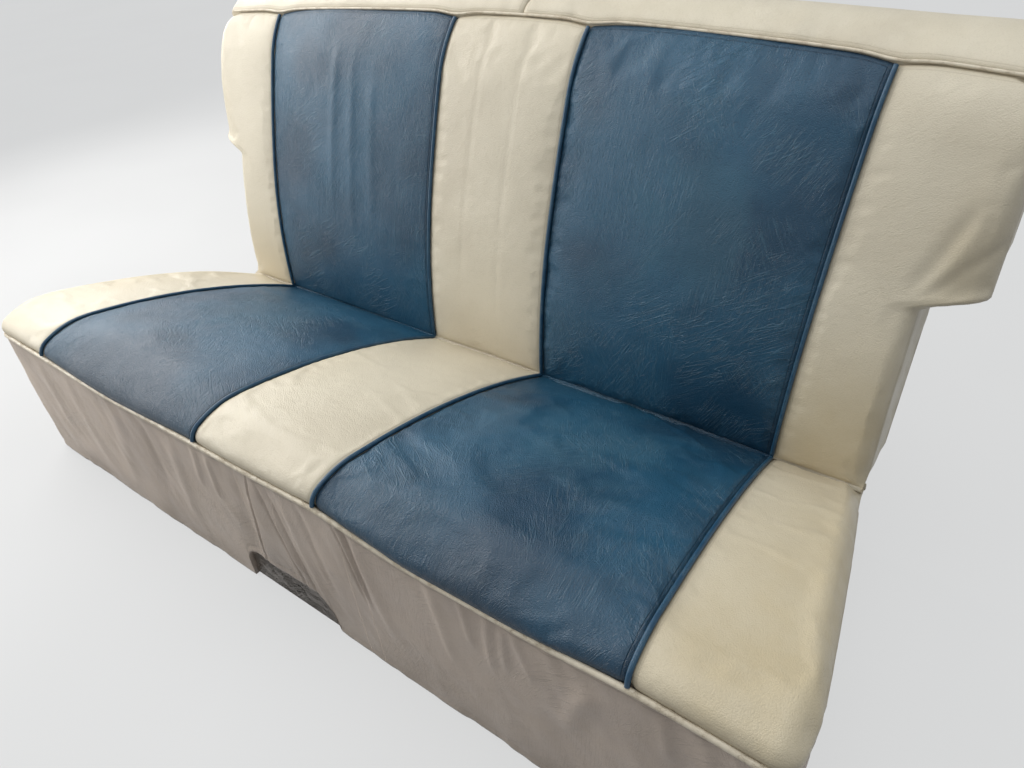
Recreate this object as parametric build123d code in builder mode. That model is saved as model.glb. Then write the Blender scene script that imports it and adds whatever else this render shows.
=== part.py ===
from build123d import *
import os
from math import cos, pi, radians, sin, tan

# Rear bench seat of a 1950s car: a sprung cushion and a leaning back with wings, both covered
# in two colours of sewn vinyl over padding, sinuous springs and a steel frame.
# Millimetres. X runs across the seat, +Y to its rear, +Z up. It is symmetric about X = 0
# and stands on Z = 0, with the origin at the middle of its footprint.

# places along the seat
crease_setback = 511.0       # front welt to the crease between cushion and back
back_depth = 289.0           # from there to the rear of the back
seat_depth = crease_setback + back_depth
front_y = -seat_depth / 2
crease_y = front_y + crease_setback

# the cushion's top line, from the crease to the front welt; setbacks are from the front
crease_height = 166.0
belly_setback = 311.0
belly_height = 251.0
crest_setback = 83.0
crest_height = 303.0
nose_setback = 18.0
nose_height = 295.0
welt_setback = 3.0
front_welt_height = 273.0

# the back's front line, from the crease to the seam under the top roll; leans are from the crease
back_start_lean = -5.0
back_start_height = 175.0
lumbar_lean = 8.5
lumbar_height = 308.0
middle_lean = 40.0
middle_height = 443.0
shoulder_lean = 100.0
shoulder_height = 617.0
top_seam_lean = 168.0
top_seam_height = 708.0
top_roll_rise = 29.0         # crest of the top roll over that seam
top_height = top_seam_height + top_roll_rise
top_seam_drop = 25.0         # fall of the top seam from the middle to the wings

# top roll
roll_drop = 18.0
roll_crest_lead = 62.0       # from its crest to the rear
roll_rear_drop = 23.0        # from its crest down to its rear edge
roll_base_drop = 82.0        # from its crest down to its base
roll_rear_height = top_height - roll_rear_drop
roll_base_height = top_height - roll_base_drop
roll_overlap = 26.0          # how far the roll starts behind the panels' face
roll_bulge = 5.0
roll_stations = 6

# seams between the panels: half distances at the crease and at the far ends
inner_seam_crease = 124.0
inner_seam_top = 128.0
inner_seam_front = 129.0
outer_seam_crease = 535.0
outer_seam_top = 561.0
outer_seam_front = 575.0

# outer edges
wing_half_width = 732.0
wing_step = 68.0             # how far a wing stands out over the armrest
back_low_half_width = wing_half_width - wing_step
front_flare = 3.0            # how far the cushion's front corners stand out past the wings
rear_flare = 1.0             # and its rear corners past the back over them
cushion_front_half_width = wing_half_width + front_flare
cushion_rear_half_width = back_low_half_width + rear_flare
wing_height = 253.0          # from a wing's lower edge to the top seam in the middle
wing_base_height = top_seam_height - wing_height
wing_corner_radius = 28.0
wing_top_rise = 3.0          # of a wing's top edge beyond its corner
edge_radius = 24.0           # roll of the cover over the cushion's sides
side_lip = 2.0               # cover under that roll, down to the cord
corner_radius = 30.0         # of the cushion's front corners, seen from above
fan_setback = 52.0           # line inside the nose that its sections fan out from

# cover
panel_thickness = 14.0       # vinyl with its sewn padding
skirt_thickness = 8.0
soft_gap = 0.3               # between soft pieces that lie on each other
centre_crown = 7.0           # how far a panel swells over its seams
blue_crown = 15.0
groove = 3.0                 # chamfer at a seam, where the cord lies
cord_radius = 2.5
cord_sides = 8               # a cord's section is a polygon with this many sides
front_cord_radius = 3.0
burlap_thickness = 2.0
cloth_thickness = 2.5

# steel frame and springs
angle_leg = 25.0
angle_wall = 3.0
short_leg = 15.0
strip_thickness = 4.0
post_width = 20.0
front_post_shares = (0.62, 0.25)   # places of the middle posts, as shares of their rail's half
rear_post_share = 0.5
rear_post_setback = 6.0      # of the rear posts from the end of the springs
upright_width = 30.0
upright_depth = 20.0
upright_inset = 64.0         # of the uprights from the back's sides, by the armrests
upright_x = back_low_half_width - upright_inset
foot_length = 60.0
foot_hole_radius = 5.25
foot_hole_setback = 22.0     # behind the frame's rear face
foot_width = 40.0
wire = 4.0
spring_width = 52.0
spring_pitch = 36.0
spring_inset = 94.0          # of the outermost springs, from the back's sides
spring_columns = 6
spring_spacing = 2 * (back_low_half_width - spring_inset) / (spring_columns - 1)
cushion_spring_rise = 28.0   # of the springs over a straight line between their rails
back_spring_rise = 50.0
clip_width = 18.0
clip_length = 16.0
clip_wall = 1.5
clip_slack = 1.8

# the arch over the floor tunnel
arch_half_width = 100.0
arch_height = 72.0
arch_radius = 40.0

# the two spring decks, from rail to rail
deck_front_setback = 30.0
deck_front_height = 228.0
deck_rear_overhang = 18.0    # how far the cushion's springs run on behind the crease
deck_rear_setback = crease_setback + deck_rear_overhang
deck_rear_height = 112.0
hook_inset = 314.0           # of the hooks, from the same sides
hook_x = back_low_half_width - hook_inset
hook_width = 22.0
hook_reach = 12.0
hook_drop = 20.0
hook_wall = 3.0
back_lean = 18.0             # of the back's frame, from the vertical
back_foot_setback = 60.0     # from the crease to the rear of the back's frame, on the floor
back_foot_y = crease_y + back_foot_setback
back_deck_start = 150.0      # bottom rail, along the lean from the floor
back_deck_drop = 90.0        # from the top seam down to the top rail
back_deck_top = top_seam_height - back_deck_drop
rear_wall_setback = 37.0     # from the crease to the cushion's rear wall
rear_wall_y = crease_y + rear_wall_setback


def at(setback, height):
    """A point of the side view, from its distance behind the front."""
    return (front_y + setback, height)


# side view lines, drawn on the plane X = 0
with BuildLine(Plane.YZ) as cushion_build:
    belly = ThreePointArc(
        at(crease_setback, crease_height),
        at(belly_setback, belly_height),
        at(crest_setback, crest_height),
    )
    brow = TangentArc(belly @ 1, at(nose_setback, nose_height), tangent=belly % 1)
    TangentArc(brow @ 1, at(welt_setback, front_welt_height), tangent=brow % 1)
cushion_line = cushion_build.wires()[0]

with BuildLine(Plane.YZ) as back_build:
    lumbar = ThreePointArc(
        at(crease_setback + back_start_lean, back_start_height),
        at(crease_setback + lumbar_lean, lumbar_height),
        at(crease_setback + middle_lean, middle_height),
    )
    shoulder = at(crease_setback + shoulder_lean, shoulder_height)
    chest = TangentArc(lumbar @ 1, shoulder, tangent=lumbar % 1)
    top_seam = at(crease_setback + top_seam_lean, top_seam_height)
    TangentArc(chest @ 1, top_seam, tangent=chest % 1)
back_line = back_build.wires()[0]


def cross_plane(line, share, turn):
    """The plane across a side view line at a share of its length, its local y out of the cover."""
    return Plane(origin=line @ share, x_dir=(1, 0, 0), z_dir=(line % share) * turn)


def inside(line, share, turn, depth):
    """A point of the side view, as (Y, Z), at a depth under a side view line."""
    point = line @ share - cross_plane(line, share, turn).y_dir * depth
    return (point.Y, point.Z)


def inner_line(line, turn, stations, depth):
    """Draws the line again at a depth under itself, from station to station, and returns its ends."""
    Polyline(*[inside(line, share, turn, depth) for share in stations])
    return inside(line, 0, turn, depth), inside(line, 1, turn, depth)


def between(start, end, share):
    """A value that runs evenly from start to end."""
    return start + (end - start) * share


def cushion_half_width(y):
    """Outer half width of the cushion, which widens towards the front."""
    share = min((crease_y - y) / (crease_setback - 2.5 * corner_radius), 1)
    return between(cushion_rear_half_width, cushion_front_half_width, share)


def cushion_seam(crease_half, front_half):
    """Half distance of a cushion seam at a place along the seat."""
    return lambda point: between(crease_half, front_half, (crease_y - point.Y) / crease_setback)


def back_seam(crease_half, top_half):
    """Half distance of a back seam at a height."""
    rise = top_seam_height - crease_height
    return lambda point: between(crease_half, top_half, (point.Z - crease_height) / rise)


# stations along a side view line, as shares of its length: closer where the cushion's nose bends
cushion_stations = [0, 0.09, 0.18, 0.27, 0.36, 0.45, 0.54, 0.63, 0.71, 0.78, 0.84, 0.88, 0.92, 0.96, 1]
back_stations = [0, 0.1, 0.2, 0.3, 0.4, 0.5, 0.6, 0.7, 0.8, 0.9, 1]


def crown_share(share):
    """How much of its full crown a panel has at a station: little at both ends."""
    return sin(pi * between(0.02, 0.95, share)) ** 0.7


def cover_panel(line, turn, stations, first_seam, second_seam, crown):
    """A crowned panel between two seams, each given as a function of the place."""
    with BuildPart() as panel:
        for share in stations:
            plane = cross_plane(line, share, turn)
            left = first_seam(plane.origin)
            right = second_seam(plane.origin)
            rise = crown * crown_share(share)
            with BuildSketch(plane):
                with BuildLine():
                    Polyline(
                        (left + groove, 0),
                        (left, -groove),
                        (left, -panel_thickness),
                        (right, -panel_thickness),
                        (right, -groove),
                        (right - groove, 0),
                    )
                    ThreePointArc((right - groove, 0), ((left + right) / 2, rise), (left + groove, 0))
                make_face()
        loft(ruled=True)
    return panel.part


def seam_cord(line, turn, stations, seam, grow=0.0):
    """The cord in the groove of a seam, or with an allowance, the groove that it lies in."""
    lift = cord_radius * 2**0.5 - groove + soft_gap * 2
    with BuildPart() as cord:
        for share in stations:
            plane = cross_plane(line, share, turn)
            with BuildSketch(plane):
                with Locations((seam(plane.origin), lift)):
                    RegularPolygon(cord_radius + grow, cord_sides)
        loft(ruled=True)
    return cord.part


def save(part, name):
    """Labels a finished piece and writes it."""
    part.label = name
    export_step(part, f"parts/{name}.step")


def save_pair(part, name):
    """Writes a piece of the right side and its mirror image."""
    save(part, f"{name}_right")
    save(mirror(part, about=Plane.YZ), f"{name}_left")


os.makedirs("parts", exist_ok=True)

cushion_inner = cushion_seam(inner_seam_crease, inner_seam_front)
cushion_outer = cushion_seam(outer_seam_crease, outer_seam_front)
back_inner = back_seam(inner_seam_crease, inner_seam_top)
back_outer = back_seam(outer_seam_crease, outer_seam_top)


def opposite(seam):
    """The same seam on the other side."""
    return lambda point: -seam(point)


def beside(seam, gap):
    """A line beside a seam."""
    return lambda point: seam(point) + gap


# crowned panels of the cushion
centre = cover_panel(
    cushion_line, 1, cushion_stations,
    beside(opposite(cushion_inner), soft_gap), beside(cushion_inner, -soft_gap), centre_crown,
)
save(centre, "cushion_panel_centre")
blue = cover_panel(
    cushion_line, 1, cushion_stations,
    beside(cushion_inner, soft_gap), beside(cushion_outer, -soft_gap), blue_crown,
)
save_pair(blue, "cushion_panel_blue")

# outer panels of the cushion, which roll over its sides and round its front corners;
# towards the front their sections fan out from a line inside the nose
fan_centre = Vector(0, front_y + fan_setback, front_welt_height)
fan_start = 0.75             # share of the cushion's line from which they fan out
lip_start = 0.5              # and from which the cover's lip follows the cord down
level = 0.05                 # rise of a section's plane under which it counts as lying flat
inner_radius = edge_radius - panel_thickness
diagonal = 0.5**0.5


def outer_plane(share):
    """The plane of an outer panel's section: across the line, or through the fan's centre."""
    if share <= fan_start:
        return cross_plane(cushion_line, share, 1)
    point = cushion_line @ share
    return Plane(origin=point, x_dir=(1, 0, 0), z_dir=Vector(1, 0, 0).cross(point - fan_centre))


def lip_depth(share, plane):
    """How far the panel comes down its side: to the cord, and round the corner to the fan's centre."""
    shortest = edge_radius + side_lip
    if share <= lip_start:
        return shortest
    reach = (plane.origin - Vector(0, fan_centre.Y, fan_centre.Z)).length - cord_radius
    drop = (plane.origin.Z - fan_centre.Z) / max(plane.y_dir.Z, level)
    return max(shortest, min(drop, reach))


with BuildPart() as cushion_outer_panel:
    for share in cushion_stations:
        plane = outer_plane(share)
        lip = lip_depth(share, plane)
        left = cushion_outer(plane.origin) + 2 * soft_gap
        right = cushion_half_width(plane.origin.Y)
        bend = right - edge_radius
        inner_right = right - panel_thickness
        with BuildSketch(plane):
            with BuildLine():
                Polyline((left, -panel_thickness), (left, -groove), (left + groove, 0), (bend, 0))
                ThreePointArc(
                    (bend, 0),
                    (bend + edge_radius * diagonal, -edge_radius * (1 - diagonal)),
                    (right, -edge_radius),
                )
                Polyline(
                    (right, -edge_radius), (right, -lip), (inner_right, -lip), (inner_right, -edge_radius)
                )
                ThreePointArc(
                    (inner_right, -edge_radius),
                    (bend + inner_radius * diagonal, -edge_radius + inner_radius * diagonal),
                    (bend, -panel_thickness),
                )
                Line((bend, -panel_thickness), (left, -panel_thickness))
            make_face()
    loft(ruled=True)
save_pair(cushion_outer_panel.part, "cushion_panel_outer")

# cords in the seams of the cushion
cushion_cords = Part()
for seam in (cushion_inner, cushion_outer):
    cord = seam_cord(cushion_line, 1, cushion_stations, seam)
    cushion_cords = cushion_cords + cord + mirror(cord, about=Plane.YZ)
save(cushion_cords, "cushion_cords")

# the cord round the front edge and along the sides, under the outer panels' lips
front_cord_y = front_y + front_cord_radius
front_cord_z = front_welt_height - front_cord_radius - soft_gap
side_cord_depth = edge_radius + side_lip + front_cord_radius + 4 * soft_gap


def side_cord_point(share):
    """A point of the cord along the right side of the cushion."""
    plane = cross_plane(cushion_line, share, 1)
    half = cushion_half_width(plane.origin.Y) - front_cord_radius
    return plane.from_local_coords((half, -side_cord_depth, 0))


corner_x = cushion_front_half_width - front_cord_radius
right_run = [side_cord_point(share) for share in (0.02, 0.2, 0.4, 0.6)]
right_run.append(Vector(corner_x, front_cord_y + 2.5 * corner_radius, front_cord_z))
right_run.append(Vector(corner_x, front_cord_y, front_cord_z))
left_run = [Vector(-point.X, point.Y, point.Z) for point in reversed(right_run)]
cord_bends = [300, 300, 300, 100, corner_radius]
with BuildPart() as front_cord:
    with BuildLine() as cord_path:
        FilletPolyline(*right_run, *left_run, radius=cord_bends + cord_bends[::-1])
    cord_wire = cord_path.wires()[0]
    with BuildSketch(Plane(origin=cord_wire @ 0, z_dir=cord_wire % 0)):
        RegularPolygon(front_cord_radius, cord_sides)
    sweep(path=cord_wire)
save(front_cord.part, "cushion_cord_front")

# skirt: the front with its rounded corners and the arch, then the two sides
skirt_front_y = front_y + welt_setback + soft_gap
skirt_top = front_cord_z - front_cord_radius - soft_gap
corner_end_y = skirt_front_y + 1.5 * corner_radius


def corner_strip(half_width, y, radius):
    """The plan line of a strip along the front, round both corners."""
    return FilletPolyline(
        (-half_width, corner_end_y), (-half_width, y), (half_width, y), (half_width, corner_end_y),
        radius=radius,
    )


with BuildPart() as skirt_front:
    with BuildSketch():
        with BuildLine():
            outer = corner_strip(cushion_front_half_width, skirt_front_y, corner_radius)
            inner = corner_strip(
                cushion_front_half_width - skirt_thickness,
                skirt_front_y + skirt_thickness,
                corner_radius - skirt_thickness,
            )
            Line(outer @ 0, inner @ 0)
            Line(outer @ 1, inner @ 1)
        make_face()
    extrude(amount=skirt_top)
    with BuildSketch(Plane.XZ):
        RectangleRounded(2 * arch_half_width, 2 * arch_height, arch_radius)
    extrude(amount=seat_depth, both=True, mode=Mode.SUBTRACT)
save(skirt_front.part, "cushion_skirt_front")

# a side skirt stands on a plane along the right side, which turns in towards the rear
side_start = Vector(cushion_half_width(corner_end_y), corner_end_y, 0)
side_end = Vector(cushion_half_width(rear_wall_y), rear_wall_y, 0)
side_plane = Plane(
    origin=side_start, x_dir=side_end - side_start, z_dir=(side_end - side_start).cross(Vector(0, 0, 1))
)
side_length = (side_end - side_start).length
corner_slit = 1.5            # between the front skirt and a side skirt
side_skirt_gap = 3.6         # between a side skirt and the cord over it
side_top_drop = side_cord_depth + front_cord_radius + side_skirt_gap


def side_top(share):
    """A point of the side skirt's top edge, in the side plane."""
    plane = cross_plane(cushion_line, share, 1)
    point = plane.from_local_coords((0, -side_top_drop, 0))
    return ((point.Y - corner_end_y) / (side_end.Y - side_start.Y) * side_length, point.Z)


with BuildPart() as skirt_side:
    with BuildSketch(side_plane):
        with BuildLine():
            ThreePointArc(side_top(0.0), side_top(0.4), side_top(0.8))
            Polyline(
                side_top(0.8), (corner_slit, skirt_top), (corner_slit, 0), (side_length, 0),
                (side_length, side_top(0.0)[1]), side_top(0.0),
            )
        make_face()
    extrude(amount=-skirt_thickness)
save_pair(skirt_side.part, "cushion_skirt")

# rear wall of the cushion: plain cloth over the rear of the padding and down to the base
rear_cover_top = crease_height - panel_thickness
rear_cover_half = cushion_half_width(rear_wall_y) - skirt_thickness - soft_gap
with BuildPart() as rear_cover:
    with BuildSketch(Plane.YZ):
        with BuildLine():
            Polyline(
                (rear_wall_y, 0),
                (rear_wall_y, rear_cover_top),
                (crease_y + panel_thickness, rear_cover_top),
                (crease_y + panel_thickness, rear_cover_top - cloth_thickness),
                (rear_wall_y - cloth_thickness, rear_cover_top - cloth_thickness),
                (rear_wall_y - cloth_thickness, 0),
                close=True,
            )
        make_face()
    extrude(amount=rear_cover_half, both=True)
save(rear_cover.part, "cushion_rear_cover")


# the spring decks: planes through the wires' ends, from the front rail of the cushion to its
# rear rail, and from the bottom rail of the back to its top rail
def deck_plane(start, direction):
    """The plane of a deck, its local y along the springs and its local z towards the cover."""
    return Plane(origin=start, x_dir=(1, 0, 0), z_dir=Vector(1, 0, 0).cross(direction))


def side_of(deck):
    """The side view plane of a deck: local x along the springs, local y towards the cover."""
    return Plane(origin=deck.origin, x_dir=deck.y_dir, z_dir=deck.x_dir)


deck_front = Vector(0, front_y + deck_front_setback, deck_front_height)
deck_rear = Vector(0, front_y + deck_rear_setback, deck_rear_height)
cushion_deck = deck_plane(deck_front, deck_rear - deck_front)
cushion_span = (deck_rear - deck_front).length

lean_up = Vector(0, sin(radians(back_lean)), cos(radians(back_lean)))
back_deck_length = back_deck_top / lean_up.Z - back_deck_start
frame_forward = Vector(0, -lean_up.Z, lean_up.Y)
clip_height = wire + 2 * (clip_wall + clip_slack)
rail_top = -clip_height / 2
rail_under = rail_top - angle_wall
back_foot = Vector(0, back_foot_y, 0)
back_deck = deck_plane(
    back_foot + lean_up * back_deck_start + frame_forward * (upright_depth - rail_under), lean_up
)


def arched_face(length, rise, low, high):
    """The side view of something that follows the springs' arch, between two heights over them."""
    with BuildSketch() as band:
        with BuildLine():
            lower = ThreePointArc((0, low), (length / 2, rise + low), (length, low))
            upper = ThreePointArc((0, high), (length / 2, rise + high), (length, high))
            Line(lower @ 0, upper @ 0)
            Line(lower @ 1, upper @ 1)
        make_face()
    return band.sketch


def sinuous_springs(deck, length, rise):
    """A row of zigzag springs, each bent from one wire and arched over its deck."""
    runs = round(length / spring_pitch)
    pitch = (length - wire) / runs
    centres = [spring_spacing * (column - (spring_columns - 1) / 2) for column in range(spring_columns)]
    side = (spring_width - wire) / 2
    with BuildPart() as springs:
        with BuildSketch(deck):
            with Locations([(x, wire / 2 + pitch * run) for x in centres for run in range(runs + 1)]):
                Rectangle(spring_width, wire)
            with Locations(
                [
                    (x + side * (-1) ** run, wire / 2 + pitch * (run + 0.5))
                    for x in centres
                    for run in range(runs)
                ]
            ):
                Rectangle(wire, pitch + wire)
        extrude(amount=rise + wire, both=True)
        with BuildSketch(side_of(deck)):
            add(arched_face(length, rise, -wire / 2, wire / 2))
        extrude(amount=seat_depth, both=True, mode=Mode.INTERSECT)
    return springs.part


def spring_clips(deck, length):
    """The folded clips that hold both ends of each spring on its rails."""
    centres = [spring_spacing * (column - (spring_columns - 1) / 2) for column in range(spring_columns)]
    with BuildPart() as clips:
        with BuildSketch(side_of(deck)):
            for y in (wire / 2, length - wire / 2):
                with Locations((y, 0)):
                    Rectangle(clip_length, clip_height)
                    Rectangle(wire + 2 * clip_slack, wire + 2 * clip_slack, mode=Mode.SUBTRACT)
        extrude(amount=seat_depth, both=True)
        with BuildSketch(deck):
            with Locations([(x, length / 2) for x in centres]):
                Rectangle(clip_width, 2 * length)
        extrude(amount=clip_height, both=True, mode=Mode.INTERSECT)
    return clips.part


def rail(deck, near, far, leg, leg_y, half_width):
    """An angle across a deck: its flat leg lies under the clips, its other leg stands off it."""
    with BuildPart() as angle:
        with BuildSketch(side_of(deck)):
            with Locations(((near + far) / 2, rail_top - angle_wall / 2)):
                Rectangle(far - near, angle_wall)
            with Locations((leg_y, rail_top - angle_wall / 2 + leg / 2)):
                Rectangle(angle_wall, abs(leg) + angle_wall)
        extrude(amount=half_width, both=True)
    return angle.part


# springs, clips and sacking of the cushion
save(sinuous_springs(cushion_deck, cushion_span, cushion_spring_rise), "cushion_springs")
save(spring_clips(cushion_deck, cushion_span), "cushion_spring_clips")
cover_gap = clip_height / 2 + soft_gap
pad_start = cover_gap + burlap_thickness + soft_gap
plan_inset = 8.0
front_half_inside = cushion_front_half_width - edge_radius
rear_half_inside = cushion_rear_half_width - edge_radius


def cushion_plan(inset):
    """The plan outline of what lies inside the cushion's cover."""
    with BuildSketch() as plan:
        with BuildLine():
            Polyline(
                (rear_half_inside - inset, rear_wall_y),
                (front_half_inside - inset, corner_end_y),
                (front_half_inside - inset - 3 * corner_radius, front_y),
                (-front_half_inside + inset + 3 * corner_radius, front_y),
                (-front_half_inside + inset, corner_end_y),
                (-rear_half_inside + inset, rear_wall_y),
                close=True,
            )
        make_face()
    return plan.sketch


with BuildPart() as cushion_burlap:
    with BuildSketch(side_of(cushion_deck)):
        add(arched_face(cushion_span, cushion_spring_rise, cover_gap, cover_gap + burlap_thickness))
    extrude(amount=seat_depth, both=True)
    with BuildSketch():
        add(cushion_plan(plan_inset))
    extrude(amount=seat_depth, mode=Mode.INTERSECT)
save(cushion_burlap.part, "cushion_burlap")


def on_deck(deck, y, z):
    """A point of a deck's side view as (Y, Z)."""
    point = deck.from_local_coords((0, y, z))
    return (point.Y, point.Z)


with BuildPart() as cushion_pad:
    with BuildSketch(Plane.YZ):
        with BuildLine():
            crease_end, front_end = inner_line(
                cushion_line, 1, cushion_stations, panel_thickness + 2 * soft_gap
            )
            deck_ends = [on_deck(cushion_deck, y, pad_start) for y in (0, cushion_span)]
            deck_top = on_deck(cushion_deck, cushion_span / 2, pad_start + cushion_spring_rise)
            ThreePointArc(deck_ends[0], deck_top, deck_ends[1])
            Line(front_end, deck_ends[0])
            pad_rear = rear_cover_top - cloth_thickness - soft_gap
            Polyline(
                deck_ends[1], (rear_wall_y - cloth_thickness - soft_gap, deck_ends[1][1]),
                (rear_wall_y - cloth_thickness - soft_gap, pad_rear),
                (crease_y + panel_thickness, pad_rear), crease_end,
            )
        make_face()
    extrude(amount=seat_depth, both=True)
    with BuildSketch():
        add(cushion_plan(plan_inset))
    extrude(amount=seat_depth, mode=Mode.INTERSECT)
outer_pair = cushion_outer_panel.part + mirror(cushion_outer_panel.part, about=Plane.YZ)
save(cushion_pad.part - outer_pair, "cushion_pad")

# steel frame of the cushion: rails under the springs, posts and flat strips on the floor
rail_near = 10.0
rail_far = angle_leg - rail_near
front_rail_half = front_half_inside - angle_leg
rear_rail_half = rear_half_inside
save(rail(cushion_deck, -rail_near, rail_far, -short_leg, -rail_near + angle_wall / 2, front_rail_half),
     "cushion_rail_front")
save(rail(cushion_deck, cushion_span - rail_far, cushion_span + rail_near, -short_leg,
          cushion_span + rail_near - angle_wall / 2, rear_rail_half), "cushion_rail_rear")

with BuildPart() as side_rails:
    with BuildSketch(cushion_deck.offset(rail_under)):
        with BuildLine():
            Polyline(
                (front_rail_half, rail_far), (rear_rail_half, cushion_span - rail_far),
                (rear_rail_half - angle_leg, cushion_span - rail_far),
                (front_rail_half - angle_leg, rail_far), close=True,
            )
        make_face()
    extrude(amount=angle_wall)
    mirror(about=Plane.YZ)
save(side_rails.part, "cushion_rail_sides")

strip_front_y = skirt_front_y + skirt_thickness + soft_gap
strip_rear_y = rear_wall_y - cloth_thickness - soft_gap - angle_leg
strip_half = cushion_front_half_width - skirt_thickness - corner_radius
with BuildPart() as base_front:
    with BuildSketch(Plane.XZ.offset(-strip_front_y)):
        Rectangle(2 * strip_half, 2 * strip_thickness)
        RectangleRounded(
            2 * (arch_half_width + strip_thickness + soft_gap), 2 * (arch_height + strip_thickness),
            arch_radius + strip_thickness,
        )
        RectangleRounded(2 * arch_half_width, 2 * arch_height, arch_radius, mode=Mode.SUBTRACT)
        with Locations((0, -seat_depth)):
            Rectangle(2 * seat_depth, 2 * seat_depth, mode=Mode.SUBTRACT)
    extrude(amount=-angle_leg)
save(base_front.part, "cushion_base_front")

base_rear_half = cushion_half_width(rear_wall_y) - skirt_thickness - soft_gap
with BuildPart() as base_rear:
    with BuildSketch():
        with Locations((0, strip_rear_y + angle_leg / 2)):
            Rectangle(2 * base_rear_half, angle_leg)
    extrude(amount=strip_thickness)
save(base_rear.part, "cushion_base_rear")

with BuildPart() as base_sides:
    with BuildSketch():
        with BuildLine():
            front_end_y = strip_front_y + angle_leg
            Polyline(
                (strip_half, front_end_y), (base_rear_half, strip_rear_y),
                (base_rear_half - angle_leg, strip_rear_y), (strip_half - angle_leg, front_end_y),
                close=True,
            )
        make_face()
    extrude(amount=strip_thickness)
    mirror(about=Plane.YZ)
save(base_sides.part, "cushion_base_sides")

post_rows = [
    # distance behind the front of the deck, and the places across it
    (0.0, [front_rail_half - angle_leg] + [share * front_rail_half for share in front_post_shares]),
    (cushion_span - rear_post_setback, [rear_rail_half - angle_leg, rear_post_share * rear_rail_half]),
]
with BuildPart() as posts:
    for along, places in post_rows:
        foot = cushion_deck.from_local_coords((0, along, 0))
        with BuildSketch(Plane.XY.offset(strip_thickness)):
            with Locations([(side * x, foot.Y) for x in places for side in (-1, 1)]):
                Rectangle(post_width, strip_thickness)
        extrude(amount=crest_height)
    split(bisect_by=cushion_deck.offset(rail_under), keep=Keep.BOTTOM)
save(posts.part, "cushion_posts")


# the back's front panels, cut to the top seam, which falls from the middle to the wings
def top_seam_z(x):
    """Height of the top seam at a place across the seat."""
    return top_seam_height - top_seam_drop * (x / wing_half_width) ** 2


def face_point(height, depth):
    """The point of the back's front line at a height, at a depth under it, as (Y, Z)."""
    low = 0.0
    high = 1.0
    for _ in range(30):
        middle = (low + high) / 2
        if (back_line @ middle).Z < height:
            low = middle
        else:
            high = middle
    return inside(back_line, low, -1, depth)


with BuildPart() as above_top_seam:
    with BuildSketch(Plane.XZ):
        with BuildLine():
            seam_arc = ThreePointArc(
                (-wing_half_width, top_seam_z(wing_half_width)),
                (0, top_seam_height - soft_gap),
                (wing_half_width, top_seam_z(wing_half_width)),
            )
            seam_end = top_seam_z(wing_half_width)
            Polyline(
                seam_arc @ 1, (2 * wing_half_width, seam_end), (2 * wing_half_width, 2 * seat_depth),
                (-2 * wing_half_width, 2 * seat_depth), (-2 * wing_half_width, seam_end), seam_arc @ 0,
            )
        make_face()
    extrude(amount=seat_depth, both=True)

back_centre = cover_panel(
    back_line, -1, back_stations,
    beside(opposite(back_inner), soft_gap), beside(back_inner, -soft_gap), centre_crown,
)
save(back_centre - above_top_seam.part, "back_panel_centre")
back_blue = cover_panel(
    back_line, -1, back_stations,
    beside(back_inner, soft_gap), beside(back_outer, -soft_gap), blue_crown,
)
save_pair(back_blue - above_top_seam.part, "back_panel_blue")
back_cords = Part()
for seam in (back_inner, back_outer):
    cord = seam_cord(back_line, -1, back_stations, seam) - above_top_seam.part
    back_cords = back_cords + cord + mirror(cord, about=Plane.YZ)
save(back_cords, "back_cords")


def side_edge(inset):
    """The back's right edge in front view, from the bottom past the wing to the top."""
    half_low = back_low_half_width - inset
    half_wing = wing_half_width - inset
    base = wing_base_height + inset
    return FilletPolyline(
        (half_low, crease_height), (half_low, base), (half_wing, base),
        (half_wing, top_seam_z(wing_half_width) - inset),
        (half_wing - 3 * wing_corner_radius, top_seam_z(wing_half_width) - inset + wing_top_rise),
        radius=[wing_corner_radius / 2 + inset, wing_corner_radius - inset, wing_corner_radius - inset],
    )


with BuildPart() as back_outer_panel:
    with BuildSketch(Plane.YZ):
        with BuildLine():
            front_low, front_high = inner_line(back_line, -1, back_stations, 0)
            rear_low, rear_high = inner_line(back_line, -1, back_stations, panel_thickness)
            Line(front_low, rear_low)
            Line(front_high, rear_high)
        make_face()
    extrude(amount=wing_half_width)
    with BuildSketch(Plane.XZ):
        with BuildLine():
            edge = side_edge(0)
            Polyline(
                edge @ 1, (outer_seam_top + soft_gap, top_seam_height),
                (outer_seam_crease + soft_gap, crease_height), edge @ 0,
            )
        make_face()
    extrude(amount=seat_depth, both=True, mode=Mode.INTERSECT)
cord_groove = seam_cord(back_line, -1, back_stations, back_outer, 2 * soft_gap)
save_pair(back_outer_panel.part - above_top_seam.part - cord_groove, "back_panel_outer")

# side walls of the back, from the front panels to the rear of the frame
rear_plane_low = back_foot + lean_up * (crease_height / lean_up.Z)
rear_plane_high = back_foot + lean_up * (roll_base_height / lean_up.Z)
with BuildPart() as back_side:
    with BuildSketch(Plane.YZ):
        with BuildLine():
            low_end, high_end = inner_line(back_line, -1, back_stations, panel_thickness + soft_gap)
            Polyline(
                high_end, (rear_plane_high.Y, roll_base_height), (rear_plane_low.Y, crease_height), low_end
            )
        make_face()
    extrude(amount=wing_half_width)
    with BuildSketch(Plane.XZ):
        with BuildLine():
            outer_edge = side_edge(0)
            inner_edge = side_edge(skirt_thickness)
            Line(outer_edge @ 0, inner_edge @ 0)
            Line(outer_edge @ 1, inner_edge @ 1)
        make_face()
    extrude(amount=seat_depth, both=True, mode=Mode.INTERSECT)
    split(bisect_by=Plane.XY.offset(roll_base_height - soft_gap), keep=Keep.BOTTOM)
save_pair(back_side.part, "back_side")

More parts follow.
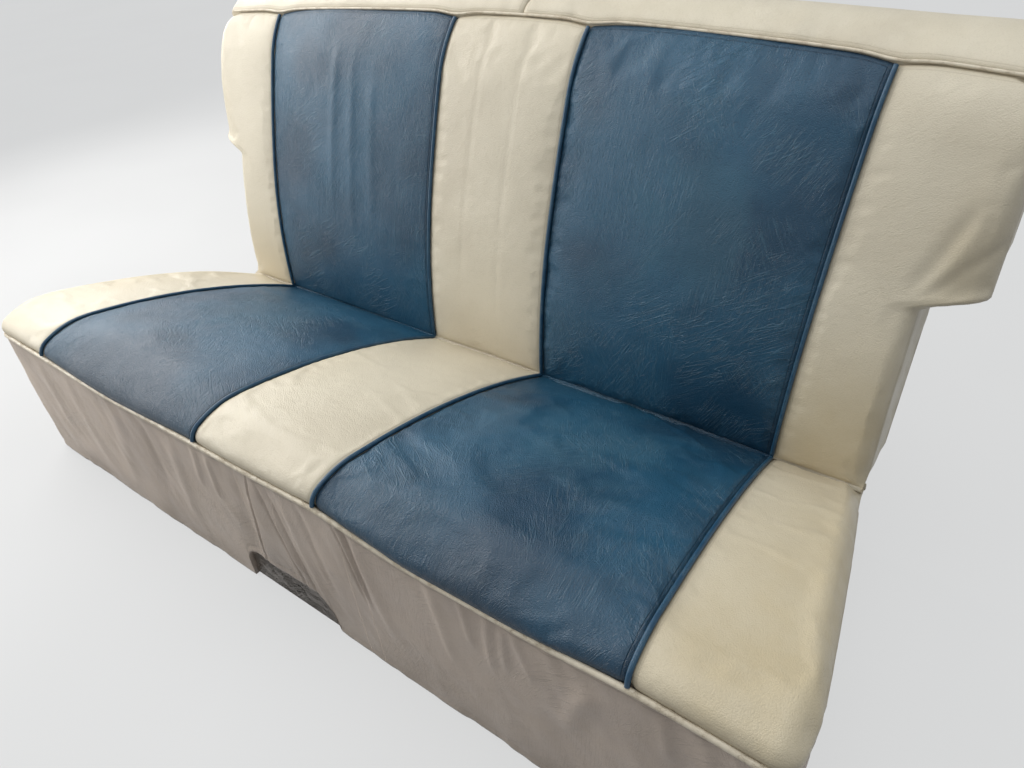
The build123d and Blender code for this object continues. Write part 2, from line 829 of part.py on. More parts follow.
# padding of the back
with BuildPart() as back_pad:
    with BuildSketch(Plane.YZ):
        with BuildLine():
            low_end, high_end = inner_line(back_line, -1, back_stations, panel_thickness + 2 * soft_gap)
            deck_ends = [on_deck(back_deck, y, pad_start) for y in (0, back_deck_length)]
            deck_middle = on_deck(back_deck, back_deck_length / 2, pad_start + back_spring_rise)
            ThreePointArc(deck_ends[0], deck_middle, deck_ends[1])
            Line(deck_ends[0], low_end)
            Line(deck_ends[1], high_end)
        make_face()
    extrude(amount=wing_half_width, both=True)
    with BuildSketch(Plane.XZ):
        with BuildLine():
            edge = side_edge(skirt_thickness + soft_gap)
            Line(edge @ 0, (0, crease_height))
            Line((0, crease_height), (0, top_seam_height))
            Line((0, top_seam_height), edge @ 1)
        make_face()
        mirror(about=Plane.YZ)
    extrude(amount=seat_depth, both=True, mode=Mode.INTERSECT)
    split(bisect_by=Plane.XY.offset(roll_base_height - soft_gap), keep=Keep.BOTTOM)
save(back_pad.part, "back_pad")

with BuildPart() as back_burlap:
    with BuildSketch(side_of(back_deck)):
        add(arched_face(back_deck_length, back_spring_rise, cover_gap, cover_gap + burlap_thickness))
    extrude(amount=back_low_half_width - 2 * angle_leg, both=True)
save(back_burlap.part, "back_burlap")

save(sinuous_springs(back_deck, back_deck_length, back_spring_rise), "back_springs")
save(spring_clips(back_deck, back_deck_length), "back_spring_clips")

# frame of the back: rails, the bent side bars of the wings, and two uprights on the floor
low_rail_half = back_low_half_width - skirt_thickness - angle_leg
top_rail_half = wing_half_width - skirt_thickness - angle_leg
save(rail(back_deck, -rail_near, rail_far, short_leg, -rail_near + angle_wall / 2, low_rail_half),
     "back_rail_bottom")
save(rail(back_deck, back_deck_length - rail_far, back_deck_length + rail_near, -short_leg,
          back_deck_length + rail_near - angle_wall / 2, top_rail_half), "back_rail_top")

arm_along = wing_base_height / lean_up.Z - back_deck_start + angle_leg
with BuildPart() as side_bars:
    with BuildSketch(back_deck.offset(rail_under)):
        with Locations(
            (low_rail_half - post_width / 2, (rail_far + arm_along) / 2),
        ):
            Rectangle(post_width, arm_along - rail_far)
        with Locations(((low_rail_half + top_rail_half - post_width) / 2, arm_along - post_width / 2)):
            Rectangle(top_rail_half - low_rail_half + post_width, post_width)
        with Locations(
            (top_rail_half - post_width / 2, (arm_along - post_width + back_deck_length - rail_far) / 2)
        ):
            Rectangle(post_width, back_deck_length - rail_far - arm_along + post_width)
    extrude(amount=angle_wall)
save_pair(side_bars.part, "back_side_bar")

upright_top = back_deck_length + rail_near - angle_wall
with BuildPart() as upright:
    with BuildSketch(back_deck.offset(rail_under)):
        with Locations((upright_x, upright_top - seat_depth / 2)):
            Rectangle(upright_width, seat_depth)
    extrude(amount=-upright_depth)
    with BuildSketch(back_deck.offset(rail_under - angle_wall)):
        with Locations((upright_x, upright_top - seat_depth / 2)):
            Rectangle(upright_width - 2 * angle_wall, seat_depth)
    extrude(amount=-upright_depth, mode=Mode.SUBTRACT)
    split(bisect_by=Plane.XY.offset(angle_wall), keep=Keep.TOP)
    with BuildSketch():
        with Locations((upright_x, back_foot_y - upright_depth / lean_up.Z + foot_length / 2)):
            Rectangle(foot_width, foot_length)
        with Locations((upright_x, back_foot_y + foot_hole_setback)):
            Circle(foot_hole_radius, mode=Mode.SUBTRACT)
    extrude(amount=angle_wall)
save_pair(upright.part, "back_upright")

# the top roll, in two halves that meet in the middle: one section at each station across
def roll_section(x):
    """The side view outline of the top roll at a place across the seat."""
    fall = roll_drop * (x / wing_half_width) ** 2
    seam_z = top_seam_z(x) + soft_gap
    start = face_point(seam_z - soft_gap, 0)[0], seam_z
    crest = -front_y - roll_crest_lead, top_height - fall
    rear = -front_y, roll_rear_height - fall
    rear_low = -front_y, roll_base_height
    slot = start[0] + roll_overlap
    return start, crest, rear, rear_low, slot, seam_z


with BuildPart() as roll:
    for step in range(roll_stations + 1):
        x = between(soft_gap, wing_half_width - skirt_thickness, step / roll_stations)
        start, crest, rear, rear_low, slot, seam_z = roll_section(x)
        with BuildSketch(Plane.YZ.offset(x)):
            with BuildLine():
                rising = (between(start[0], crest[0], 0.5), between(start[1], crest[1], 0.5))
                falling = (between(crest[0], rear[0], 0.5), between(crest[1], rear[1], 0.5))
                ThreePointArc(start, (rising[0] - roll_bulge, rising[1] + roll_bulge), crest)
                ThreePointArc(crest, (falling[0], falling[1] + roll_bulge), rear)
                Polyline(rear, rear_low, (slot, roll_base_height), (slot, seam_z), start)
            make_face()
    loft(ruled=True)
save_pair(roll.part, "back_top_roll")

# plain cloth under the back, from the front panels to the bottom rail
cloth_low = (low_end[0], low_end[1] - soft_gap)
cloth_high = (deck_ends[0][0], deck_ends[0][1] - soft_gap)
with BuildPart() as back_bottom:
    with BuildSketch(Plane.YZ):
        with BuildLine():
            Polyline(
                cloth_low, cloth_high, (cloth_high[0], cloth_high[1] - cloth_thickness),
                (cloth_low[0], cloth_low[1] - cloth_thickness), close=True,
            )
        make_face()
    extrude(amount=back_low_half_width - skirt_thickness - soft_gap, both=True)
save(back_bottom.part, "back_bottom_cover")

# hooks on the top rail's rear leg, which hang the back on the body behind it
hook_start = back_deck_length + rail_near
hook_rear = rail_top - short_leg - hook_reach
with BuildPart() as hooks:
    with BuildSketch(side_of(back_deck)):
        with BuildLine():
            Polyline(
                (hook_start, rail_top), (hook_start + hook_wall, rail_top),
                (hook_start + hook_wall, hook_rear), (hook_start - hook_drop, hook_rear),
                (hook_start - hook_drop, hook_rear + hook_wall), (hook_start, hook_rear + hook_wall),
                close=True,
            )
        make_face()
    extrude(amount=hook_x + hook_width / 2, both=True)
    with BuildSketch(Plane.XY):
        Rectangle(2 * hook_x - hook_width, 2 * seat_depth)
    extrude(amount=seat_depth, mode=Mode.SUBTRACT)
save(hooks.part, "back_hooks")
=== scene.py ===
import math

import bmesh
import bpy
import numpy as np
from mathutils import Matrix, Vector


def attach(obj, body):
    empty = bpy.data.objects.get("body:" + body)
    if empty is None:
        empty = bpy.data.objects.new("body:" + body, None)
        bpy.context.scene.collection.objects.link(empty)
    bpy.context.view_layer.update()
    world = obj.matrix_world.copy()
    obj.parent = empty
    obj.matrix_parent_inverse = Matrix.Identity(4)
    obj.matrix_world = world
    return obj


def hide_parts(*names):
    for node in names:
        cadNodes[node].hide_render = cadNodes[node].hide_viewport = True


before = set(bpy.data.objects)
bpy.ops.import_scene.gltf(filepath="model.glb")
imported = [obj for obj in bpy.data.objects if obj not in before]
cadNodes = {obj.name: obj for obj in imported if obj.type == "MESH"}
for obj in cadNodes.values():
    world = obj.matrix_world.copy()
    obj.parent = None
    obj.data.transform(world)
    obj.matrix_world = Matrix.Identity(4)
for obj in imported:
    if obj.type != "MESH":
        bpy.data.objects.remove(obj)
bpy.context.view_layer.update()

# Rear bench seat in two colours of sewn vinyl. Metres: X across, +Y to the rear, +Z up.
# Places along a side view are (y, z) pairs, as in the CAD source.
seat = {
    "creaseToBelly": ((0.111, 0.166), (-0.089, 0.251), (-0.317, 0.303)),  # three points of one arc
    "nose": (-0.382, 0.295),
    "welt": (-0.397, 0.273),
    "footToMiddle": ((0.106, 0.175), (0.1195, 0.308), (0.151, 0.443)),
    "shoulder": (0.211, 0.617),
    "topSeam": (0.279, 0.708),
    "topSeamDrop": 0.025,  # fall of the top seam from the middle to the wings
    "wingHalf": 0.732,
    "lowHalf": 0.664,
    "wingStart": 0.432,  # heights between which the back widens to its wings
    "wingFull": 0.468,
    "wingRound": 0.030,
    "creaseHalf": 0.665,
    "frontWider": 0.070,
    "frontRun": 0.436,  # forwards from the crease, over which the cushion widens
}
seams = {
    "innerCrease": 0.124, "innerFront": 0.129, "innerTop": 0.128,
    "outerCrease": 0.535, "outerFront": 0.575, "outerTop": 0.561,
}


# numbers and lines
def unit(v):
    return v / np.linalg.norm(v)


def units(v):
    # each row's own direction
    return v / np.linalg.norm(v, axis=-1, keepdims=True)


def runAlong(points):
    # how far each point is along its line
    return np.concatenate([[0], np.cumsum(np.linalg.norm(np.diff(points, axis=0), axis=1))])


def arcThrough(a, b, c, count=60):
    a, b, c = (np.array(p, float) for p in (a, b, c))
    rows = np.array([b - a, c - a]) * 2
    centre = np.linalg.solve(rows, [b @ b - a @ a, c @ c - a @ a])
    angles = [math.atan2(*(p - centre)[::-1]) for p in (a, b, c)]
    angles = np.unwrap(angles)
    radius = np.linalg.norm(a - centre)
    turn = np.linspace(angles[0], angles[2], count)
    return centre + radius * np.stack([np.cos(turn), np.sin(turn)], 1)


def arcOnwards(line, end, count=30):
    # an arc that leaves the line's end along its own direction
    start, end = line[-1], np.array(end, float)
    heading = unit(line[-1] - line[-2])
    side = np.array([-heading[1], heading[0]])
    chord = end - start
    reach = chord @ chord / (2 * chord @ side)
    middle = start + side * reach
    half = np.arctan2(*unit((start + end) / 2 - middle)[::-1])
    bulge = middle + abs(reach) * np.array([math.cos(half), math.sin(half)])
    return arcThrough(start, bulge, end, count)[1:]


class SideLine:
    # a side view line; every method takes shares of its length, as arrays
    def __init__(self, first, *ends, outward):
        line = arcThrough(*first)
        for end in ends:
            line = np.vstack([line, arcOnwards(line, end)])
        self.line, self.along = line, runAlong(line)
        self.length, self.outward = self.along[-1], outward

    def spot(self, share):
        place = np.asarray(share) * self.length
        return np.stack([np.interp(place, self.along, self.line[:, k]) for k in (0, 1)], -1)

    def facing(self, share):
        share = np.asarray(share)
        ahead = units(self.spot(np.minimum(share + 0.004, 1.0)) - self.spot(np.maximum(share - 0.004, 0.0)))
        return np.stack([ahead[..., 1], -ahead[..., 0]], -1) * self.outward

    def shareAtHeight(self, z):
        return np.interp(z, self.line[:, 1], self.along / self.length)


cushionLine = SideLine(seat["creaseToBelly"], seat["nose"], seat["welt"], outward=1)
backLine = SideLine(seat["footToMiddle"], seat["shoulder"], seat["topSeam"], outward=-1)


def smoothStep(a, b, x):
    t = np.clip((np.asarray(x, float) - a) / (b - a), 0, 1)
    return t * t * (3 - 2 * t)


def softNoise(x, y, scale, seed):
    # value noise between -1 and 1 that is the same each run
    x, y = np.asarray(x) * scale, np.asarray(y) * scale
    xi, yi = np.floor(x).astype(int), np.floor(y).astype(int)
    fx, fy = x - xi, y - yi
    fx, fy = fx * fx * (3 - 2 * fx), fy * fy * (3 - 2 * fy)

    def corner(i, j):
        spin = np.sin(i * 127.1 + j * 311.7 + seed * 74.7) * 43758.5453
        return (spin - np.floor(spin)) * 2 - 1

    low = corner(xi, yi) * (1 - fx) + corner(xi + 1, yi) * fx
    high = corner(xi, yi + 1) * (1 - fx) + corner(xi + 1, yi + 1) * fx
    return low * (1 - fy) + high * fy


def foldHeight(x, s, folds):
    # folds: start x, start s, end x, end s, half width, height, how sharp its -x side is;
    # a negative height is a valley
    total = np.zeros_like(x)
    for x0, s0, x1, s1, width, height, *sharp in folds:
        run = np.array([x1 - x0, s1 - s0])
        reach = run @ run
        t = ((x - x0) * run[0] + (s - s0) * run[1]) / reach
        bend = width * 0.2 * np.sin(t * 3.1 + x0 * 40)  # no fold is quite straight
        off = ((x - x0) * run[1] - (s - s0) * run[0]) / math.sqrt(reach) * np.sign(run[1]) - bend
        crisp = sharp[0] if sharp else 0.0
        wide = width * np.where(off < 0, 1 - 0.8 * crisp, 1 + 0.7 * crisp)
        taper = smoothStep(-0.12, 0.2, t) * smoothStep(1.12, 0.7, t)
        total += height * np.exp(-((off / wide) ** 2)) * taper
    return total


def nearness(distance):
    # 1 at a seam, 0 from 30 mm away
    return np.clip(1 - np.abs(distance) / 0.030, 0, 1)


# mesh helpers
def newMesh(name, points, faces):
    mesh = bpy.data.meshes.new(name)
    corners = [tuple(int(i) for i in face) for face in faces]
    mesh.from_pydata([tuple(p) for p in np.asarray(points, float)], [], corners)
    return mesh


def placed(name, data):
    made = bpy.data.objects.new(name, data)
    bpy.context.scene.collection.objects.link(made)
    return made


def evaluated(thing):
    return thing.evaluated_get(bpy.context.evaluated_depsgraph_get())


def newPiece(name, points, faces, material, marks):
    mesh = newMesh(name, points, faces)
    mesh.polygons.foreach_set("use_smooth", [True] * len(mesh.polygons))
    for key, values in marks.items():
        mark = mesh.attributes.new(key, "FLOAT", "POINT")
        mark.data.foreach_set("value", np.asarray(values, np.float32).ravel())
    mesh.materials.append(material)
    return placed(name, mesh)


def seated(piece, node):
    # every piece rides on the one body; most take the place of a CAD node
    if node:
        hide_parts(node)
    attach(piece, "root")


def coverPiece(name, points, faces, material, marks, node, slot, fill):
    # a closed cover over padding
    piece = newPiece(name, points, faces, material, marks)
    work = bmesh.new()
    work.from_mesh(piece.data)
    bmesh.ops.recalc_face_normals(work, faces=work.faces)
    work.to_mesh(piece.data)
    work.free()
    seated(piece, node)


def gridFaces(rows, columns):
    index = np.arange(rows * columns).reshape(rows, columns)
    corners = [index[:-1, :-1], index[:-1, 1:], index[1:, 1:], index[1:, :-1]]
    return np.stack(corners, -1).reshape(-1, 4)


def rimOf(rows, columns):
    # a grid's outer places, once round
    loop = [(0, c) for c in range(columns)] + [(r, columns - 1) for r in range(1, rows)]
    loop += [(rows - 1, c) for c in range(columns - 2, -1, -1)]
    return loop + [(r, 0) for r in range(rows - 2, 0, -1)]


def closedSlab(top, under):
    # the top grid, and a border of under points that closes it below
    rows, columns = top.shape[:2]
    points = list(top.reshape(-1, 3))
    faces = [list(f) for f in gridFaces(rows, columns)]
    loop = rimOf(rows, columns)
    low = {}
    for r, c in loop:
        low[(r, c)] = len(points)
        points.append(under[r, c])
    for a, b in zip(loop, loop[1:] + loop[:1]):
        faces.append([b[0] * columns + b[1], a[0] * columns + a[1], low[a], low[b]])
    for r in range(rows - 1):  # the underside is one face a row, with the whole end rows
        here = range(columns) if r == 0 else (0, columns - 1)
        ahead = range(columns) if r == rows - 2 else (0, columns - 1)
        faces.append([low[(r, c)] for c in here] + [low[(r + 1, c)] for c in reversed(ahead)])
    return np.array(points), faces


def marksFor(shape, **values):
    # grid values, then the underside's border: it repeats the grid's own edge place, else 0
    loop = rimOf(*shape)
    rim = tuple(np.array(loop).T)
    marks = {}
    for key, grid in values.items():
        grid = np.broadcast_to(np.asarray(grid, float), shape)
        border = grid[rim] if key in ("across", "along") else np.zeros(len(loop))
        marks[key] = np.concatenate([grid.ravel(), border])
    return marks


blowFacts = {
    "frames": 18, "quality": 5, "mass": 0.25, "stretch": 18, "shear": 8, "bending": 2.0,
    "pinReach": 0.006, "fullPin": 0.6, "partPin": 0.5,
}


def pins(edge, end):
    # how firmly the cloth simulation holds a place: wholly at the seams and ends, not at all inside
    reach = blowFacts["pinReach"]
    hold = np.maximum(np.exp(-((edge / reach) ** 2)), np.exp(-((end / reach) ** 2)))
    return np.where(hold > blowFacts["fullPin"], 1.0, np.round(hold * blowFacts["partPin"], 1))


def relaxed(name, top, pinned, facts):
    # blows the sheet up a little as sewn vinyl over padding; the seams are pinned
    sheet = placed(name, newMesh(name, top.reshape(-1, 3), gridFaces(*top.shape[:2])))
    group = sheet.vertex_groups.new(name="pin")
    levels = np.round(pinned.ravel(), 2)
    for level in np.unique(levels):
        if level > 0:
            group.add([int(i) for i in np.nonzero(levels == level)[0]], float(level), "REPLACE")
    cloth = sheet.modifiers.new("blow", "CLOTH")
    settings = cloth.settings
    settings.quality = blowFacts["quality"]
    settings.mass = blowFacts["mass"]
    settings.tension_stiffness = settings.compression_stiffness = blowFacts["stretch"]
    settings.shear_stiffness = blowFacts["shear"]
    settings.bending_stiffness = blowFacts["bending"]
    settings.shrink_min = facts["shrink"]
    settings.use_pressure = True
    settings.uniform_pressure_force = facts["pressure"]
    settings.vertex_group_mass = "pin"
    settings.effector_weights.gravity = 0
    cloth.collision_settings.use_collision = False
    cloth.point_cache.frame_start, cloth.point_cache.frame_end = 1, blowFacts["frames"]
    for step in range(1, blowFacts["frames"] + 1):
        bpy.context.scene.frame_set(step)
    moved = np.zeros(top.size)
    evaluated(sheet).data.vertices.foreach_get("co", moved)
    bpy.data.objects.remove(sheet)
    bpy.context.scene.frame_set(1)
    way = moved.reshape(top.shape) - top
    size = np.linalg.norm(way, axis=-1, keepdims=True)
    cap = facts["cap"]
    return top + way * np.minimum(1, cap / np.maximum(size, 1e-9)) * (1 - np.exp(-size / cap * 3))


# shader maths: an expression on these values adds its Math nodes
class Value:
    def __init__(self, recipe, socket):
        self.recipe, self.socket = recipe, socket

    def maths(self, operation, *values):
        return self.recipe.node("ShaderNodeMath", {"operation": operation}, dict(enumerate(values)))

    def __add__(self, other):
        return self.maths("ADD", self, other)

    __radd__ = __add__

    def __sub__(self, other):
        return self.maths("SUBTRACT", self, other)

    def __rsub__(self, other):
        return self.maths("SUBTRACT", other, self)

    def __mul__(self, other):
        return self.maths("MULTIPLY", self, other)

    __rmul__ = __mul__

    def __pow__(self, other):
        return self.maths("POWER", self, other)

    def __abs__(self):
        return self.maths("ABSOLUTE", self)

    def sine(self):
        return self.maths("SINE", self)

    def rising(self, low, high):  # 0 below low, 1 above high; low may be the larger
        sockets = {"Value": self, "From Min": low, "From Max": high}
        if low > high:
            sockets = {"Value": self, "From Min": high, "From Max": low, "To Min": 1.0, "To Max": 0.0}
        return self.recipe.node("ShaderNodeMapRange", {"interpolation_type": "SMOOTHSTEP"}, sockets)


class Recipe:
    # one procedural material
    def __init__(self, name, **constants):
        self.material = bpy.data.materials.new(name)
        self.material.use_nodes = True
        self.tree = self.material.node_tree
        self.shader = self.tree.nodes["Principled BSDF"]
        for key, value in constants.items():
            self.shader.inputs[key.replace("_", " ")].default_value = value
        self.place = self.node("ShaderNodeTexCoord", output="Object")

    def put(self, socket, value):
        if isinstance(value, Value):
            self.tree.links.new(value.socket, socket)
        elif isinstance(value, tuple) and len(value) == 3 and socket.type == "RGBA":
            socket.default_value = (*value, 1)
        else:
            socket.default_value = value

    def node(self, kind, settings=None, sockets=None, output=0):
        made = self.tree.nodes.new(kind)
        for key, value in (settings or {}).items():
            setattr(made, key, value)
        for key, value in (sockets or {}).items():
            self.put(made.inputs[key], value)
        return Value(self, made.outputs[output])

    def mark(self, name):
        return self.node("ShaderNodeAttribute", {"attribute_name": name}, output="Fac")

    def onCover(self):
        # the place on the cover itself: across the seat, and along the cover
        return self.node("ShaderNodeCombineXYZ", {}, {"X": self.mark("across"), "Y": self.mark("along")})

    def noise(self, scale, detail=3.0, roughness=0.55, distortion=0.0, at=None):
        sockets = {"Scale": scale, "Detail": detail, "Roughness": roughness, "Distortion": distortion}
        return self.node("ShaderNodeTexNoise", {}, {"Vector": at or self.place, **sockets})

    def cells(self, scale, feature="F1"):
        sockets = {"Vector": self.place, "Scale": scale}
        return self.node("ShaderNodeTexVoronoi", {"feature": feature}, sockets, "Distance")

    def turned(self, place, turn, long, short, shift):
        # a pattern's own frame: its x runs at the turn, one unit is long by short
        sockets = {"Vector": place, "Location": (shift, shift, shift), "Rotation": (0, 0, turn)}
        sockets["Scale"] = (long, short, 1)
        return self.node("ShaderNodeMapping", {"vector_type": "TEXTURE"}, sockets)

    def blend(self, share, first, second):
        return self.node("ShaderNodeMix", {"data_type": "RGBA"}, {0: share, 6: first, 7: second}, 2)

    def bump(self, height, depth, strength=1.0, under=None):
        sockets = {"Height": height, "Distance": depth, "Strength": strength}
        if under:
            sockets["Normal"] = under
        return self.node("ShaderNodeBump", {}, sockets)

    def finish(self, **links):
        for key, value in links.items():
            self.put(self.shader.inputs[key.replace("_", " ")], value)
        return self.material


# creases in the vinyl: which way a set runs, its length, spacing and line width, and where it lies
creaseSets = [
    dict(turn=1.50, long=0.080, short=0.0046, line=0.040, patch=6.0, start=0.44, fade=0.20, deep=0.8),
    dict(turn=1.05, long=0.050, short=0.0042, line=0.045, patch=9.0, start=0.47, fade=0.18, deep=0.8),
    dict(turn=0.55, long=0.070, short=0.0070, line=0.034, patch=7.0, start=0.51, fade=0.14, deep=1.0),
    dict(turn=2.10, long=0.045, short=0.0050, line=0.040, patch=8.0, start=0.50, fade=0.15, deep=0.8),
]


def creases(made, place):
    total = 0.0
    for number, facts in enumerate(creaseSets):
        shift = 0.37 * number + 0.1
        laid = made.turned(place, facts["turn"], facts["long"], facts["short"], shift)
        line = abs(made.noise(1.0, 1.5, 0.5, 0.5, laid) - 0.5).rising(facts["line"], 0.0)
        patch = made.noise(facts["patch"], 1.0, 0.5, 0.4, made.turned(place, 0.0, 1, 1, shift * 3))
        shown = patch.rising(facts["start"], facts["start"] + facts["fade"])
        total = total + line * shown * facts["deep"]
    return total


def vinyl(name, look):
    made = Recipe(name, Specular_IOR_Level=look["gloss"])
    near, wear, stain = made.mark("seamNear"), made.mark("wear"), made.mark("stain")
    place = made.onCover()
    broad = made.noise(4.5, 2)
    cloud = made.noise(21, 3, 0.62)
    grain = made.cells(look["grain"])
    speck = made.noise(look["grain"] * 0.35, 2)
    lines = creases(made, place)
    worn = (wear * 1.6 - 0.6 + cloud).rising(0.45, 0.95)
    stitched = near.rising(0.695, 0.725) * near.rising(0.765, 0.735)  # the sewn-down line beside a cord
    colour = made.blend(broad.rising(0.36, 0.66), look["colour"], look["shade"])
    colour = made.blend(worn * look["mottle"], colour, look["worn"])
    # creases take a colour of their own: lighter on the blue, as worn whitening and painted highlight; darker
    # on the cream
    colour = made.blend(lines.maths("MINIMUM", lines * look["lineShare"], 0.8), colour, look["line"])
    colour = made.blend(grain.rising(0.5, 0.95) * look["pore"], colour, look["deep"])
    # stains; on the blue cushion panels this mark is painted shade over the front roll
    colour = made.blend(stain * (0.65 + 0.35 * cloud.rising(0.2, 0.8)), colour, look["stain"])
    # darker along the seams and in the stitch groove beside a cord: dirt and painted shade
    colour = made.blend(near**4 * look["seamDirtAndShade"] + stitched * look["seamDirtAndShade"] * 0.5, colour, look["deep"])
    rough = look["rough"] + 0.22 * (cloud - 0.5) + 0.10 * worn + 0.12 * near**3
    soft = made.bump(made.noise(26, 2), 0.005, look["ripple"])
    lined = made.bump(lines - 1.2 * stitched, 0.0007, look["lineDepth"], soft)
    skin = made.bump(0.3 * speck - grain, 0.0008, look["grainDepth"], lined)
    return made.finish(Base_Color=colour, Roughness=rough, Normal=skin)


blueLook = {
    "colour": (0.014, 0.084, 0.152), "shade": (0.006, 0.043, 0.086), "worn": (0.045, 0.138, 0.200),
    # the blue's stain colour darkens only the cushion's front roll: painted shade
    "line": (0.075, 0.175, 0.245), "deep": (0.003, 0.012, 0.028), "stain": (0.006, 0.028, 0.054),
    "gloss": 0.5, "rough": 0.40, "grain": 640, "pore": 0.35, "mottle": 0.35, "lineShare": 0.28,
    "lineDepth": 0.85, "seamDirtAndShade": 0.6, "ripple": 0.35, "grainDepth": 0.7,
}
creamLook = {
    "colour": (0.66, 0.60, 0.47), "shade": (0.58, 0.52, 0.40), "worn": (0.72, 0.67, 0.55),
    "line": (0.46, 0.40, 0.28), "deep": (0.30, 0.24, 0.15), "stain": (0.50, 0.40, 0.22),
    "gloss": 0.45, "rough": 0.42, "grain": 640, "pore": 0.10, "mottle": 0.40, "lineShare": 0.10,
    "lineDepth": 0.15, "seamDirtAndShade": 0.45, "ripple": 0.25, "grainDepth": 0.4,
}
skirtLook = {
    **creamLook,
    "colour": (0.57, 0.475, 0.395), "shade": (0.47, 0.385, 0.32), "worn": (0.66, 0.56, 0.465),
    "line": (0.24, 0.21, 0.17), "deep": (0.16, 0.13, 0.10), "stain": (0.17, 0.14, 0.11),
    "lineShare": 0.15, "lineDepth": 0.45,
}
blueVinyl = vinyl("blueVinyl", blueLook)
creamVinyl = vinyl("creamVinyl", creamLook)
skirtVinyl = vinyl("creamSkirtVinyl", skirtLook)


def cordFinish(name, colour, crack, rough):
    # thin vinyl round a cord: small dents and fine cracks across it
    made = Recipe(name, Specular_IOR_Level=0.45)
    cloud = made.noise(60, 3)
    cracks = made.cells(260, "DISTANCE_TO_EDGE").rising(0.06, 0.0) * cloud.rising(0.45, 0.6)
    tone = made.blend(cloud.rising(0.35, 0.7) * 0.5, colour, crack)
    tone = made.blend(cracks * 0.6, tone, crack)
    skin = made.bump(cloud * 0.6 - cracks, 0.0006, 0.7)
    return made.finish(Base_Color=tone, Roughness=rough + 0.2 * (cloud - 0.5), Normal=skin)


blueCord = cordFinish("bluePiping", (0.014, 0.058, 0.112), (0.040, 0.110, 0.170), 0.36)
creamCord = cordFinish("creamPiping", (0.68, 0.61, 0.48), (0.40, 0.32, 0.21), 0.42)


def paintedSteel():
    # thin black paint over steel, rusty in patches
    made = Recipe("paintedSteel", Specular_IOR_Level=0.5)
    patch = made.noise(14, 5, 0.7)
    flake = made.noise(120, 3, 0.6)
    rust = (patch + 0.25 * (flake - 0.5)).rising(0.56, 0.66)
    tone = made.blend(flake.rising(0.3, 0.7), (0.020, 0.021, 0.023), (0.040, 0.040, 0.042))
    tone = made.blend(made.noise(40, 3).rising(0.5, 0.8) * 0.5, tone, (0.085, 0.078, 0.068))  # dust
    brown = made.blend(flake.rising(0.35, 0.7), (0.150, 0.055, 0.020), (0.070, 0.026, 0.012))
    tone = made.blend(rust, tone, brown)
    rough = 0.42 + 0.42 * rust + 0.15 * (flake - 0.5)
    skin = made.bump(flake * (0.3 + rust), 0.0009, 0.8)
    return made.finish(Base_Color=tone, Roughness=rough, Normal=skin)


def springSteel():
    # bare drawn wire, dulled, with a bloom of rust
    made = Recipe("springSteel", Specular_IOR_Level=0.5)
    patch = made.noise(22, 4, 0.65)
    fine = made.noise(300, 2)
    rust = (patch + 0.2 * (fine - 0.5)).rising(0.48, 0.66)
    tone = made.blend(fine, (0.26, 0.25, 0.24), (0.17, 0.165, 0.16))
    tone = made.blend(rust, tone, (0.115, 0.050, 0.024))
    metal = 0.85 - 0.75 * rust
    skin = made.bump(fine, 0.0004, 0.6)
    return made.finish(Base_Color=tone, Roughness=0.38 + 0.4 * rust, Metallic=metal, Normal=skin)


def woven(name, pitch, colour, deep, dusty, depth):
    # a plain weave on the cloth's own place: yarns over and under each other
    made = Recipe(name, Specular_IOR_Level=0.2, Sheen_Weight=0.3)
    turn = math.pi / pitch
    uneven = made.noise(40, 3)
    slub = made.noise(220, 2)
    across = (made.mark("across") * turn + (uneven - 0.5) * 2.2).sine()
    along = (made.mark("along") * turn + (uneven - 0.5) * 2.0).sine()
    over = across * along
    yarn = abs(across).maths("MAXIMUM", abs(across), abs(along))
    hole = yarn.rising(0.55, 0.2)
    tone = made.blend(over.rising(-0.6, 0.6), colour, dusty)
    tone = made.blend(slub.rising(0.4, 0.75) * 0.5, tone, deep)
    tone = made.blend(hole * 0.7, tone, deep)
    tone = made.blend(made.mark("stain") * 0.6 * uneven.rising(0.3, 0.7), tone, deep)
    skin = made.bump(over * 0.5 + slub * 0.6 - hole, depth, 0.9)
    return made.finish(Base_Color=tone, Roughness=0.88 + 0.1 * (slub - 0.5), Normal=skin)


def feltedPadding():
    # matted cotton: short fibres every way, with darker tufts
    made = Recipe("padding", Specular_IOR_Level=0.15, Sheen_Weight=0.4)
    place = made.place
    fibre = 0.0
    for number, turn in enumerate((0.3, 1.4, 2.5)):
        strand = made.noise(1.0, 1.0, 0.5, 0.6, made.turned(place, turn, 0.012, 0.0011, number * 0.21))
        fibre = fibre + abs(strand - 0.5).rising(0.10, 0.0) * 0.4
    tuft = made.noise(34, 4, 0.65)
    fleck = made.cells(160).rising(0.18, 0.05) * made.noise(70, 2).rising(0.55, 0.65)
    tone = made.blend(tuft.rising(0.3, 0.7), (0.52, 0.47, 0.38), (0.36, 0.32, 0.26))
    tone = made.blend(fibre * 0.5, tone, (0.66, 0.61, 0.51))
    tone = made.blend(fleck * 0.8, tone, (0.10, 0.09, 0.11))
    skin = made.bump(fibre * 0.5 + tuft, 0.003, 0.9)
    return made.finish(Base_Color=tone, Roughness=0.94, Normal=skin)


steelFinish = paintedSteel()
wireFinish = springSteel()
burlapFinish = woven(
    "burlapWeave", 0.0024, (0.40, 0.29, 0.16), (0.16, 0.105, 0.05), (0.52, 0.40, 0.24), 0.0012,
)
clothFinish = woven(
    "liningWeave", 0.0011, (0.085, 0.082, 0.080), (0.030, 0.029, 0.028), (0.15, 0.14, 0.13), 0.0006,
)
paddingFinish = feltedPadding()
threadRecipe = Recipe("creamThread", Roughness=0.8)
threadTone = threadRecipe.blend(threadRecipe.noise(400, 2), (0.50, 0.44, 0.32), (0.34, 0.28, 0.18))
creamThread = threadRecipe.finish(Base_Color=threadTone)
print("finishes made")


